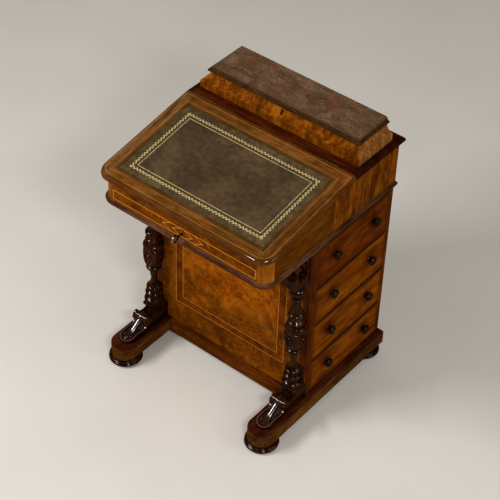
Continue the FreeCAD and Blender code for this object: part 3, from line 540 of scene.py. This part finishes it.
def stained_walnut(name):
    finish, place = begin_finish(name)
    tone = walnut_tone(place, [Z], mottle=0.3)[0]
    colour = tones(tone, (10, 4, 1), (28, 11, 3), (60, 26, 7))
    return end_finish(finish, colour, 0.06 + 0.06 * tone, **POLISH)


def toe_finish(name):
    finish, place = begin_finish(name)
    x, y, z = parts_of(place)
    inset = TOE_HALF - length_of(abs(abs(x) - TOE_X), (PAD_Y - y).larger(0.0))
    on_pad = 1.0 - rise(z, *[TOE_FOOT + height for height in RIM_TOP])
    tone = walnut_tone(place, [Y], mottle=0.3)[0]
    colour = tones(tone, (10, 3, 1), (30, 12, 4), (56, 24, 8))
    # Painted highlight along the rim of the pad.
    colour = tint(line(inset, *RIM_HIGHLIGHT) * on_pad, colour, shade(112, 84, 68), strength=0.35)
    return end_finish(finish, colour, 0.06 + 0.06 * tone, **POLISH)


dark_walnut = stained_walnut("dark_walnut")
toe_walnut = toe_finish("toe_walnut")
print("toe pads:", round(2.0 * TOE_HALF, 3), "m wide")

# %% [markdown]
# The linings of the drawers, the well and the compartments were left in plain pale wood. The boards between
# the drawers and under the well are pale too, but dark where their edges show on the outside: stained, and
# between the drawers also painted shade for the gaps there. A mask beyond a distance from the middle does
# that, so each board stays one piece.

# %% Linings
NO_EDGE, FACING, HAIR = 1.0, 0.035, 0.0005
dust_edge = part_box("dust_boards")[1][X] - FACING
well_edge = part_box("case_right")[0][X] + HAIR
well_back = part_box("case_bottom")[1][Y] - 2.0 * HAIR


def lining_finish(name, along, side_edge=NO_EDGE, back_edge=NO_EDGE):
    """Pale wood along the given axes, dark beyond the edges that show on the outside: stain, and on the dust
    boards painted shade too.
    """
    finish, place = begin_finish(name)
    x, y, _ = parts_of(place)
    tone, pores = walnut_tone(place, along, mottle=0.1)
    colour = tint(pores, tones(tone, *LINING), shade(104, 70, 40), strength=0.35)
    outside = abs(x).above(side_edge).larger(y.above(back_edge))
    colour = tint(outside, colour, tones(tone, (20, 7, 2), (34, 13, 3), (50, 21, 6)))
    return end_finish(finish, colour, 0.5 + 0.15 * tone, tone - pores, depth=0.00015, IOR=1.1)


lining_x = lining_finish("lining_across", [X])
lining_y = lining_finish("lining_deep", [Y])
# Between the drawers these dark edges are partly painted shade for the gaps.
dust_board_wood = lining_finish("dust_board_wood", [Y], dust_edge)
well_board_wood = lining_finish("well_board_wood", [X], well_edge, well_back)
print("stained beyond x =", round(dust_edge, 4), "and", round(well_edge, 4))

# %% [markdown]
# Locks are brass with rubbed and dull patches, the lid's bolt is steel, and the hinges have gone dark. The
# key is dark on its shaft, and the end of its bow is painted bright as a highlight. Noise mixes a dull and a
# bright tone, and the same noise makes the roughness uneven.

# %% Metals
METAL_RELIEF = 0.00005
KEY_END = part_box("key")[0][Y]
KEY_HIGHLIGHT = KEY_END + 0.003, KEY_END + 0.010


def rubbed_metal(name, dull, bright, roughness):
    finish, place = begin_finish(name)
    patch = noise(place, scale=260.0, detail=3.0)
    colour = tint(full_range(patch, 0.35, 0.65), shade(*dull), shade(*bright))
    return end_finish(finish, colour, roughness + 0.25 * patch, patch, METAL_RELIEF, Metallic=1.0)


def key_finish(name):
    finish, place = begin_finish(name)
    patch = noise(place, scale=300.0, detail=3.0)
    # Painted highlight at the end of the key's bow.
    painted_highlight = 1.0 - rise(parts_of(place)[Y], *KEY_HIGHLIGHT)
    colour = tint(painted_highlight, shade(52, 38, 26), shade(206, 192, 164))
    return end_finish(finish, colour, 0.2 + 0.25 * patch, patch, METAL_RELIEF, Metallic=1.0)


brass = rubbed_metal("rubbed_brass", (128, 92, 44), (206, 168, 92), roughness=0.18)
old_brass = rubbed_metal("old_brass", (44, 28, 14), (92, 64, 30), roughness=0.34)
steel = rubbed_metal("rubbed_steel", (96, 92, 88), (186, 182, 174), roughness=0.2)
key_metal = key_finish("key_metal")
print("metals:", [finish.name for finish in (brass, old_brass, steel, key_metal)])

# %% [markdown]
# The best faces carry burr walnut: a veneer cut from a knotted growth, with swirling grain and small dark
# eyes. A picture of burr would repeat and blur, so noise looks up its own place through a second noise, and
# its lines curl. The eyes are cells of a Voronoi texture on the same bent place.

# %% Burr walnut
BEND = (0.1, 0.1, 0.1)
EYES, EYE_STRENGTH, EYE_DARKNESS = (0.06, 0.26), 0.35, 0.5


def burr_tone(place):
    """Tone of burr veneer from 0 to 1, and its dark eyes."""
    drift = noise(place, scale=13.0, out="Color")
    push = {0: drift, 1: BEND, 2: place}
    bent = place.node("ShaderNodeVectorMath", {"operation": "MULTIPLY_ADD"}, push)
    swirl = noise(bent, scale=40.0, detail=6.0, twist=1.0)
    cloud = noise(place, scale=9.0, detail=3.0, twist=0.8)
    fine = noise(along_grain(bent, [Z], stretch=2.5), scale=320.0, detail=4.0)
    knots = place.node("ShaderNodeTexVoronoi", {}, {"Vector": bent, "Scale": 70.0})
    return full_range(swirl * 0.3 + cloud * 0.4 + fine * 0.3), 1.0 - rise(knots, *EYES)


def burr(tone, eyes, dark, middle, light):
    """Brown from dark to light, with the eyes darker still."""
    colour = tones(tone, dark, middle, light)
    return tint(eyes, colour, shade(*[part * EYE_DARKNESS for part in dark]), EYE_STRENGTH)


print("burr is bent by up to", BEND[0], "m")

# %% [markdown]
# The front panel is burr inside and outside a dark crossband, which two light lines of boxwood edge. A
# rectangle's outline is where the larger of two distances is zero, so one sum gives both lines and the band.
# The burr is richest and brightest towards the top middle, round an orange flame above the middle, partly as
# the veneer's own tone and partly as painted light there and painted shade low down and at the sides. A few
# patches are darker.

# %% Front panel
BOXWOOD, STRING = shade(184, 116, 44), 0.0017
PANEL_LOW, PANEL_HIGH, BAND = (-0.1854, 0.1436), (0.1854, 0.5070), 0.0236
RICH_AND_LIT, RICH_AND_LIT_LEAN, RICH_AND_LIT_STRAY = (0.14, 0.42), 0.6, 0.4
FLAME_GLOW_X, FLAME_GLOW_Z, FLAME_GLOW, FLAME_GLOW_STRAY = 0.02, 0.40, (0.02, 0.12), 0.2


def panel_burr(place, x, z, tone, eyes):
    """The colour of the burr, before the band and its lines."""
    rich_and_lit = burr(tone, eyes, (92, 40, 2), (160, 79, 5), (204, 114, 15))
    plain = burr(tone, eyes, (58, 27, 2), (106, 53, 4), (144, 80, 12))
    stray = noise(place, scale=7.0, detail=3.0, twist=0.8) - 0.5
    # Partly painted light: richer and brighter towards the top middle, darker low down and at the sides.
    colour = tint(rise(z - abs(x) * RICH_AND_LIT_LEAN + stray * RICH_AND_LIT_STRAY, *RICH_AND_LIT), plain, rich_and_lit)
    # Partly painted light: the orange flame glows above the middle.
    flame_glow = length_of(x - FLAME_GLOW_X, z - FLAME_GLOW_Z) + stray * FLAME_GLOW_STRAY
    colour = tint(1.0 - rise(flame_glow, *FLAME_GLOW), colour, shade(178, 88, 6), strength=0.45)
    darker = patches(place, scale=17.0, twist=1.2, start=0.52, end=0.7)
    return tint(darker, colour, shade(60, 35, 4), strength=0.45)


def panel_finish(name):
    finish, place = begin_finish(name)
    x, _, z = parts_of(place)
    tone, eyes = burr_tone(place)
    colour = panel_burr(place, x, z, tone, eyes)
    band = tones(walnut_tone(place, [Y], mottle=0.3)[0], (54, 22, 3), (96, 45, 7), (126, 66, 14))
    distance = rectangle(x, z, PANEL_LOW, PANEL_HIGH)
    colour = tint(line(distance, -BAND / 2, BAND), colour, band)
    strings = line(distance, 0.0, STRING).larger(line(distance, -BAND, STRING))
    colour = tint(strings, colour, BOXWOOD, strength=0.9)
    return end_finish(finish, colour, 0.3 + 0.1 * tone, tone, **WAX)


front_panel_burr = panel_finish("front_panel_burr")
print("panel string:", [round(high - low, 3) for low, high in zip(PANEL_LOW, PANEL_HIGH)], "m")

# %% [markdown]
# The frieze under the lid has a string rectangle round nested chevrons that point away from the keyhole. A
# chevron is where the distance to the side and twice the distance up or down add up to one value, so each
# pair of arms is one line.

# %% Frieze
frieze_low, frieze_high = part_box("case_front")
FRIEZE_MIDDLE, FRIEZE_RISE, FRIEZE_HALF = frieze_low[Z] + 0.020, 0.0135, frieze_high[X] - 0.0035
FRIEZE_STRING, CHEVRONS, ARM, ARM_SLOPE = 0.0016, (0.064, 0.032), 0.0034, 2.0
FRIEZE_LOW = -FRIEZE_HALF, FRIEZE_MIDDLE - FRIEZE_RISE
FRIEZE_HIGH = FRIEZE_HALF, FRIEZE_MIDDLE + FRIEZE_RISE


def frieze_finish(name):
    finish, place = begin_finish(name)
    x, _, z = parts_of(place)
    tone, eyes = burr_tone(place)
    colour = burr(tone, eyes, (62, 28, 2), (100, 48, 3), (134, 75, 11))
    edge = rectangle(x, z, FRIEZE_LOW, FRIEZE_HIGH)
    chevron = abs(x) + abs(z - FRIEZE_MIDDLE) * ARM_SLOPE
    outer, inner = (line(chevron, at, ARM) for at in CHEVRONS)
    arms = outer.larger(inner) * (0.0 - edge).above(0.0)
    colour = tint(arms.larger(line(edge, 0.0, FRIEZE_STRING)), colour, shade(204, 138, 52))
    return end_finish(finish, colour, 0.3 + 0.1 * tone, tone, **WAX)


frieze_burr = frieze_finish("frieze_burr")
print("frieze middle at z =", round(FRIEZE_MIDDLE, 3))

# %% [markdown]
# The stationery box has a rippled figure that stands upright, golden in its light bands and paler on the
# ends. Broad noise drawn out along the height gives the ripple. The keyhole in the front is painted dark
# inside, as painted shade in the hole.

# %% Stationery box
BOX_KEYHOLE, KEYHOLE_SIDE, KEYHOLE_RISE = 0.7685, (0.0020, 0.0034), (0.0052, 0.0074)


def ripple_finish(name, dark, middle, light):
    finish, place = begin_finish(name)
    ripple = noise(along_grain(place, [Z], stretch=5.0), scale=80.0, twist=0.4)
    cloud = noise(place, scale=20.0, detail=4.0, twist=0.9)
    fine = noise(place, scale=260.0, detail=3.0)
    tone = full_range(ripple * 0.34 + cloud * 0.42 + fine * 0.24)
    x, _, z = parts_of(place)
    beside = rise(abs(x), *KEYHOLE_SIDE)
    over = rise(abs(z - BOX_KEYHOLE), *KEYHOLE_RISE)
    # Painted shade inside the keyhole.
    colour = tint((1.0 - beside) * (1.0 - over), tones(tone, dark, middle, light), shade(16, 7, 2))
    return end_finish(finish, colour, 0.42 + 0.1 * tone, tone, IOR=1.04)


box_front_ripple = ripple_finish("box_front_ripple", (60, 27, 2), (104, 51, 4), (150, 87, 14))
box_end_ripple = ripple_finish("box_end_ripple", (94, 52, 19), (136, 83, 38), (166, 110, 56))
print("box finishes:", box_front_ripple.name, box_end_ripple.name)

# %% [markdown]
# The pattern on the writing lid has to lie in its sloping plane, so a Mapping node turns the place back by
# the slope about the hinge line. In that plane two distances serve all lines and bands: one to the edge of
# the leather, and one to the lid's own edge, which has rounded front corners.

# %% Lay the lid flat
HINGE, LID_DROP, LID_RUN = (0.0, 0.08, 0.736), 0.0525, 0.329
SLOPE = math.atan2(LID_DROP, LID_RUN)
LID_HALF, LID_FRONT, LID_CORNER = 0.271, -0.350, 0.041
LEATHER_HALF, LEATHER_BACK, LEATHER_FRONT = 0.226, -0.045, -0.3087


def lid_plane(place):
    """The place laid flat with the hinge line as its x axis."""
    back = {"Vector": place, "Location": HINGE, "Rotation": (SLOPE, 0.0, 0.0)}
    return place.node("ShaderNodeMapping", {"vector_type": "TEXTURE"}, back)


def lid_inset(x, v):
    """Distance inside the lid's edge, round its two front corners."""
    aside = abs(x) - (LID_HALF - LID_CORNER)
    forward = (LID_FRONT + LID_CORNER) - v
    round_part = length_of(aside.larger(0.0), forward.larger(0.0))
    inside = LID_CORNER - round_part - aside.larger(forward).smaller(0.0)
    return inside.smaller(0.0 - v)


def leather_marks(x, v):
    """Distance outside the leather's edge, negative inside it, and whether an end edge is nearest."""
    across = abs(x) - LEATHER_HALF
    deep = abs(v - (LEATHER_BACK + LEATHER_FRONT) / 2) - (LEATHER_BACK - LEATHER_FRONT) / 2
    return across.larger(deep), across.above(deep)


print("lid slope:", round(math.degrees(SLOPE), 2), "degrees")

# %% [markdown]
# The border of the writing lid is walnut veneer, warmer in patches, painted paler at its left end as a
# painted sheen of the light from that side, and darker in a narrow band round the leather. Each of these is
# the same grain in other tones, laid over the last through a mask, so the figure runs on unbroken from one to
# the next.

# %% Veneer of the lid's border
LEFT_SHEEN, LEATHER_BAND = (-0.225, -0.245), 0.022


def lid_border(flat, x, distance, tone, pores):
    """The colour of the border, before its lines and its nosing."""
    colour = old_walnut(tone, pores, (64, 35, 8), (95, 56, 17), (128, 83, 34))
    warm = old_walnut(tone, pores, (82, 36, 7), (116, 57, 13), (146, 84, 28))
    warmer = patches(flat, scale=13.0, twist=0.6, start=0.48, end=0.68)
    colour = tint(warmer, colour, warm, strength=0.5)
    paler = old_walnut(tone, pores, (74, 47, 22), (108, 75, 42), (140, 104, 66))
    # Painted sheen: the left end of the border is paler.
    colour = tint(rise(x, *LEFT_SHEEN), colour, paler, strength=0.6)
    inner = old_walnut(tone, pores, (56, 33, 11), (80, 49, 18), (102, 68, 30))
    return tint(line(distance, 0.0, LEATHER_BAND), colour, inner)


# The paler left end is a painted sheen.
print("faded at the left from x =", LEFT_SHEEN[0])

# %% [markdown]
# The veneer's grain runs along each edge, so two walnut tones are made and the nearest edge picks one. Fine
# light lines run round the leather and inside the lid's edge, and a dark groove holds the leather. The nosing
# is stained darker, with a polished patch at the right front corner, where sleeves have rubbed. The underside
# is plain wood, which shows when the lid is up.

# %% Writing lid
INNER_LINE, FAINT_LINE, OUTER_LINE = (0.011, 0.0011), (0.0155, 0.0010), (0.010, 0.0011)
GROOVE, NOSING = 0.0016, (0.0055, 0.0085)
GLOSS_SIDE, GLOSS_FRONT = (0.20, 0.24), (-0.335, -0.30)
LID_UNDER, LID_SKIN = -0.0276, 0.0008
UNDERSIDE = (92, 50, 16), (128, 78, 30), (158, 106, 50)


def lid_finish(name):
    finish, place = begin_finish(name)
    flat = lid_plane(place)
    x, v, w = parts_of(flat)
    distance, on_ends = leather_marks(x, v)
    inset = lid_inset(x, v)
    across, deep = (walnut_tone(flat, [axis], mottle=0.3) for axis in (X, Y))
    tone, pores = (over + (down - over) * on_ends for over, down in zip(across, deep))
    colour = lid_border(flat, x, distance, tone, pores)
    strings = line(distance, *INNER_LINE).larger(line(inset, *OUTER_LINE))
    strings = strings.larger(line(distance, *FAINT_LINE) * 0.6)
    colour = tint(strings, colour, shade(172, 120, 64), strength=0.6)
    colour = tint(line(distance, 0.0, GROOVE), colour, shade(34, 20, 8))
    nosing = 1.0 - rise(inset, *NOSING)
    colour = tint(nosing, colour, shade(68, 33, 7), strength=0.65)
    underneath = 1.0 - rise(w, LID_UNDER, LID_UNDER + LID_SKIN)
    colour = tint(underneath, colour, old_walnut(*across, *UNDERSIDE))
    gloss = nosing * rise(x, *GLOSS_SIDE) * (1.0 - rise(v, *GLOSS_FRONT))
    return end_finish(finish, colour, 0.32 + 0.12 * tone - 0.18 * gloss, tone - pores, IOR=1.03,
                      Coat_Weight=0.006 + 0.4 * gloss, Coat_IOR=2.2, Coat_Roughness=0.07)


lid_veneer = lid_finish("lid_veneer")
print("lid nosing:", NOSING[1], "m wide")

# %% [markdown]
# A heated tool has pressed gold leaf into the leather: a running scroll with small buds and tips on either
# side, and a line of beads inside it. A line whose distance swings with a wave runs as a scroll, and a wave
# along a straight line cuts it into buds or beads. Worn places lose their gold.

# %% Gilding
SCROLLS, SCROLL_WAVES, SCROLL_SWING = (-0.0208, 0.0014), 598.0, 0.0017
BUDS, BUD_SWING, BUD_PHASE, BUD_ENDS = (-0.0236, 0.0011), 0.0005, 1.5, (-0.3, 0.3)
TIPS, TIP_PHASE, TIP_ENDS = (-0.0180, 0.0010), 4.6, (0.1, 0.6)
BEADS, BEAD_WAVES, BEAD_ENDS = (-0.0325, 0.0015), 1256.0, (-0.9, -0.2)
WORN = 0.26, 0.5


def gilding(distance, run, worn):
    """How much gold there is at a distance from the leather's edge and a run along it."""
    turn = run * SCROLL_WAVES
    scrolls = line(distance + turn.wave() * SCROLL_SWING, *SCROLLS)
    buds = line(distance + (turn * 2.0).wave() * BUD_SWING, *BUDS)
    buds = buds * rise((turn + BUD_PHASE).wave(), *BUD_ENDS)
    tips = line(distance, *TIPS) * rise((turn + TIP_PHASE).wave(), *TIP_ENDS)
    beads = line(distance, *BEADS) * rise((run * BEAD_WAVES).wave(), *BEAD_ENDS)
    return scrolls.larger(buds).larger(tips).larger(beads) * rise(worn, *WORN)


print("scrolls every", round(2.0 * math.pi / SCROLL_WAVES, 4), "m")

# %% [markdown]
# The leather is a brown field with faint blotches, a golden brown tooled band and a greener margin. A Voronoi
# texture gives the fine pebbles of its grain as relief, and the gold lies pressed in below them.

# %% Leather
TOOLED_BAND, MARGIN = (-0.031, -0.028), (-0.025, -0.022)


def leather_finish(name):
    finish, place = begin_finish(name)
    flat = lid_plane(place)
    x, v, _ = parts_of(flat)
    distance, on_ends = leather_marks(x, v)
    blotch = noise(flat, scale=9.0, detail=4.0, twist=0.6)
    scuff = noise(flat, scale=70.0, detail=4.0)
    field = tones(full_range(blotch * 0.6 + scuff * 0.4), (59, 45, 29), (73, 56, 36), (88, 69, 46))
    margin = tones(full_range(blotch * 0.5 + scuff * 0.5), (60, 48, 28), (76, 61, 36), (94, 77, 46))
    colour = tint(rise(distance, *TOOLED_BAND), field, shade(76, 58, 20))
    colour = tint(rise(distance, *MARGIN), colour, margin)
    gilt = gilding(distance, x + (v - x) * on_ends, noise(flat, scale=240.0, detail=3.0))
    colour = tint(gilt, colour, shade(240, 218, 160), strength=0.95)
    grain = flat.node("ShaderNodeTexVoronoi", {"feature": "SMOOTH_F1"}, {"Vector": flat, "Scale": 750.0})
    roughness = 0.5 + 0.2 * scuff - 0.15 * gilt
    return end_finish(finish, colour, roughness, grain - gilt, depth=0.0003, IOR=1.18)


leather = leather_finish("tooled_leather")
print("leather:", 2.0 * LEATHER_HALF, "x", round(LEATHER_BACK - LEATHER_FRONT, 4), "m")

# %% [markdown]
# The lid of the stationery box has lost its polish in daylight: a mottled, greyer brown, still dark at its
# moulded edge and plain underneath. Its grain runs along the box and is drawn out less than in other boards,
# because fading leaves more of the mottle than of the fibres.

# %% Stationery lid
box_lid_low, box_lid_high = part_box("stationery_lid")
DARK_EDGE, EDGE_LINE = (-0.012, -0.006), (-0.0075, 0.0014)
UNDER_SKIN = 0.0002, 0.001


def faded_finish(name):
    finish, place = begin_finish(name)
    x, y, z = parts_of(place)
    cloud = noise(along_grain(place, [X], stretch=1.6), scale=34.0, detail=4.0, twist=0.8)
    speckle = noise(along_grain(place, [X], stretch=1.5), scale=300.0, detail=4.0)
    pores = rise(noise(along_grain(place, [X], stretch=5.0), scale=640.0, detail=1.0), 0.56, 0.68)
    tone = full_range(cloud * 0.5 + speckle * 0.5, 0.3, 0.7)
    colour = old_walnut(tone, pores, (68, 43, 29), (98, 72, 51), (126, 99, 76))
    greener = patches(place, scale=24.0, twist=0.8, start=0.5, end=0.68)
    colour = tint(greener, colour, shade(82, 66, 42), strength=0.4)
    redder = patches(place, scale=15.0, twist=0.6, start=0.52, end=0.7)
    colour = tint(redder, colour, shade(104, 60, 38), strength=0.4)
    edge = (abs(x) - box_lid_high[X]).larger(box_lid_low[Y] - y)
    stained = tones(tone, (42, 24, 8), (58, 35, 12), (78, 50, 20))
    colour = tint(rise(edge, *DARK_EDGE), colour, stained)
    colour = tint(line(edge, *EDGE_LINE), colour, shade(120, 88, 56), strength=0.35)
    underneath = 1.0 - rise(z, *[box_lid_low[Z] + skin for skin in UNDER_SKIN])
    colour = tint(underneath, colour, old_walnut(tone, pores, *UNDERSIDE))
    return end_finish(finish, colour, 0.42 + 0.12 * tone, tone - pores, IOR=1.14)


faded_lid = faded_finish("faded_walnut")
print("stationery lid:", [round(value, 3) for value in box_lid_high - box_lid_low], "m")

# %% [markdown]
# Now each solid gets its finish. The frame's record names the kind of material of every solid. Most take the
# finish of their kind, and the rest have one of their own.

# %% Finish every solid
FINISHES = {
    "rail_walnut": rail_walnut, "dark_walnut": dark_walnut, "burr_walnut": box_front_ripple,
    "walnut": pedestal_walnut, "red_walnut": moulding_walnut, "lid_walnut": lid_veneer,
    "faded_walnut": faded_lid, "lining_wood": lining_x, "leather": leather, "brass": brass, "steel": steel,
}
OWN_FINISH = {
    "plinth_front": plinth_walnut, "plinth_back": plinth_walnut, "pedestal_front": front_panel_burr,
    "case_front": frieze_burr, "case_corner_posts": post_walnut, "front_stiles": stile_walnut,
    "back_stiles": stile_walnut, "pedestal_back": back_walnut, "case_back": back_walnut,
    "stationery_back": back_walnut, "stationery_sides": box_end_ripple,
    "case_left": case_side_walnut, "case_right": case_side_walnut,
    "scroll_toe_left": toe_walnut, "scroll_toe_right": toe_walnut,
    "fixed_shelf": shelf_walnut, "pigeonhole_partitions": lining_y, "stationery_dividers": lining_y,
    "dust_boards": dust_board_wood, "case_bottom": well_board_wood,
    "dummy_drawer_fronts": dummy_walnut, "key": key_metal,
}
OWN_FINISH.update({"drawer_%d_front" % number: finish for number, finish in drawer_finishes.items()})
OWN_FINISH.update({name: old_brass for name in nodes if "hinge" in name})
SLOTS = {row["node"]: row["material_slot"] for row in frame["record"]["subparts"]}
for name, solid in nodes.items():
    solid.data.materials.clear()
    solid.data.materials.append(OWN_FINISH.get(name) or FINISHES[SLOTS[name]])
print("finished solids:", len(nodes), "with a finish of their own:", len(OWN_FINISH))

# %% [markdown]
# A joiner takes the knife edge off every board with a few strokes of the plane. A Weld modifier joins the
# loose triangles of a solid, and a Bevel modifier then eases the edges that turn sharply. Modifiers leave
# the solid's own mesh as it is.

# %% Ease the boards' edges
BOARDS = ("walnut", "rail_walnut", "red_walnut", "faded_walnut", "lining_wood")
EASE_WIDTH, EASE_STEPS, SHARP, WELD_REACH = 0.0007, 2, math.radians(50.0), 0.00001
EASED = [name for name in nodes if SLOTS[name] in BOARDS]
for name in EASED:
    weld = nodes[name].modifiers.new("joined", "WELD")
    weld.merge_threshold = WELD_REACH
    bevel = nodes[name].modifiers.new("eased", "BEVEL")
    bevel.width = EASE_WIDTH
    bevel.segments = EASE_STEPS
    bevel.limit_method = "ANGLE"
    bevel.angle_limit = SHARP
print("eased boards:", len(EASED))

# %% [markdown]
# Both scroll toes carry the same carving, so each shape is made once for the right toe and mirrored for the
# left. Mirroring turns its faces inside out, so their normals are worked out again. The pieces are fixed to
# the carcass, and their paler stain and stronger coat show the edges of the carving.

# %% Carve a pair
TONGUE_POLISH = {"IOR": 1.02, "Coat_Weight": 0.5, "Coat_IOR": 2.2, "Coat_Roughness": 0.15}


def tongue_finish(name):
    finish, place = begin_finish(name)
    tone = walnut_tone(place, [Y], mottle=0.3)[0]
    colour = tones(tone, (20, 9, 5), (40, 21, 13), (66, 40, 28))
    return end_finish(finish, colour, 0.06 + 0.08 * tone, **TONGUE_POLISH)


def carve(name, shape, smoothing):
    """Turns a bmesh into a piece of the fixed carcass, right and left."""
    bmesh.ops.recalc_face_normals(shape, faces=shape.faces[:])
    for face in shape.faces:
        face.smooth = True
    for side in ("right", "left"):
        if side == "left":
            bmesh.ops.scale(shape, vec=(-1.0, 1.0, 1.0), verts=shape.verts[:])
            bmesh.ops.recalc_face_normals(shape, faces=shape.faces[:])
        mesh = bpy.data.meshes.new("%s_%s" % (name, side))
        shape.to_mesh(mesh)
        mesh.materials.append(tongue_walnut)
        piece = bpy.data.objects.new(mesh.name, mesh)
        scene.collection.objects.link(piece)
        subdivision = piece.modifiers.new("smoothed", "SUBSURF")
        subdivision.levels = subdivision.render_levels = smoothing
        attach(piece, "carcass")
    shape.free()


tongue_walnut = tongue_finish("tongue_walnut")
print("carving is finished in", tongue_walnut.name)

# %% [markdown]
# On each scroll toe a carved tongue flows from under the curled knee to the round pad. It could be sculpted,
# but a few stations say enough: each row of a grid goes to one station and is crowned across, and a
# Subdivision modifier smooths the rest. A station gives, in millimetres, the reach forward from the back of
# the toe, the height of the crown and half the width.

# %% Tongues of the toes
TONGUE = [
    (62, 42.0, 19.0), (72, 51.0, 20.5), (83, 52.5, 21.5), (91, 48.0, 21.0), (96, 42.0, 19.5),
    (104, 35.8, 17.0), (112, 29.6, 15.0), (120, 23.4, 13.2), (127, 18.4, 11.8), (134, 14.8, 10.4),
    (141, 12.6, 8.4), (147, 11.2, 5.4), (150, 9.0, 2.5),
]
MILLIMETRES, LAST_STATION, STRIPS = 1000.0, len(TONGUE) - 1, 6
TONGUE_EDGE, TONGUE_UNDER = 0.006, 0.003


def tongue_shape():
    shape = bmesh.new()
    bmesh.ops.create_grid(shape, x_segments=STRIPS, y_segments=LAST_STATION, size=1.0)
    for vert in shape.verts:
        row = round((vert.co.y + 1.0) / 2.0 * LAST_STATION)
        reach, crown, half = (value / MILLIMETRES for value in TONGUE[row])
        across = vert.co.x
        height = TONGUE_EDGE + (crown - TONGUE_EDGE) * math.sqrt(max(0.0, 1.0 - across * across))
        vert.co = (TOE_X + across * half, toe_high[Y] - reach, TOE_FOOT + height)
    bottom = bmesh.ops.extrude_face_region(shape, geom=shape.faces[:], use_keep_orig=True)
    for part in bottom["geom"]:
        if isinstance(part, bmesh.types.BMVert):
            part.co.z = TOE_FOOT + TONGUE_UNDER
    return shape


carve("toe_tongue", tongue_shape(), smoothing=2)
print("stations of a tongue:", len(TONGUE))

# %% [markdown]
# A bead runs round the end of each tongue. It is a small circle, spun through half a turn about the middle of
# the pad, and its two ends are drawn back under the knee. At last the whole bead is tipped to the slope of
# the pad.

# %% Beads of the toes
BEAD_ROUND, BEAD_SIZE, BEAD_SLOPE, BEAD_RUN = 0.0112, 0.0017, math.radians(9.0), 0.05
BEAD_SIDES, BEAD_STEPS, PAD_HEIGHT = 10, 20, 0.0098
PAD_MIDDLE = Vector((TOE_X, PAD_Y, TOE_FOOT + PAD_HEIGHT))


def bead_shape():
    shape = bmesh.new()
    bmesh.ops.create_circle(shape, cap_ends=True, radius=BEAD_SIZE, segments=BEAD_SIDES)
    stood = Matrix.Rotation(math.pi / 2, 3, "X")
    bmesh.ops.rotate(shape, cent=(0.0, 0.0, 0.0), matrix=stood, verts=shape.verts[:])
    bmesh.ops.translate(shape, vec=PAD_MIDDLE + Vector((BEAD_ROUND, 0.0, 0.0)), verts=shape.verts[:])
    first = shape.faces[:]
    half_turn = {"cent": PAD_MIDDLE, "axis": (0.0, 0.0, -1.0), "angle": math.pi, "steps": BEAD_STEPS}
    last = bmesh.ops.spin(shape, geom=first, use_duplicate=False, **half_turn)["geom_last"]
    for end in (first, [part for part in last if isinstance(part, bmesh.types.BMFace)]):
        drawn = bmesh.ops.extrude_face_region(shape, geom=[face for face in end if face.is_valid])
        verts = [part for part in drawn["geom"] if isinstance(part, bmesh.types.BMVert)]
        bmesh.ops.translate(shape, vec=(0.0, BEAD_RUN, 0.0), verts=verts)
    tipped = Matrix.Rotation(BEAD_SLOPE, 3, "X")
    bmesh.ops.rotate(shape, cent=PAD_MIDDLE, matrix=tipped, verts=shape.verts[:])
    return shape


carve("toe_bead", bead_shape(), smoothing=1)
print("beads run round", [round(value, 3) for value in PAD_MIDDLE])

# %% [markdown]
# A plain pale floor carries the desk and is no part of it. Polished work mirrors it as a browner one, because
# the pale tone would lay a grey veil over the dark wood. A Light Path node tells mirrored rays from others.

# %% Floor
FLOOR_HALF = 12.0
floor_shape = bmesh.new()
bmesh.ops.create_grid(floor_shape, x_segments=2, y_segments=2, size=FLOOR_HALF)
floor_mesh = bpy.data.meshes.new("floor")
floor_shape.to_mesh(floor_mesh)
floor_shape.free()
floor = bpy.data.objects.new("floor", floor_mesh)
scene.collection.objects.link(floor)
floor_finish, floor_place = begin_finish("pale_floor")
pale = tint(noise(floor_place, scale=3.0, detail=3.0), shade(212, 206, 197), shade(224, 219, 211))
mirrored = floor_place.node("ShaderNodeLightPath", {}, {}, "Is Glossy Ray")
end_finish(floor_finish, tint(mirrored, pale, shade(150, 118, 82)), roughness=0.6)
floor_mesh.materials.append(floor_finish)
floor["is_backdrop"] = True
print("floor:", 2.0 * FLOOR_HALF, "m wide")

# %% [markdown]
# Last, the boxes of the solids and of the dressed desk are printed side by side.

# %% Compare sizes
bpy.context.view_layer.update()
boxes = {"cad": solid_box, "visual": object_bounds()}
for name, (low, high) in boxes.items():
    print(name, "box:", [round(value, 3) for value in high - low])
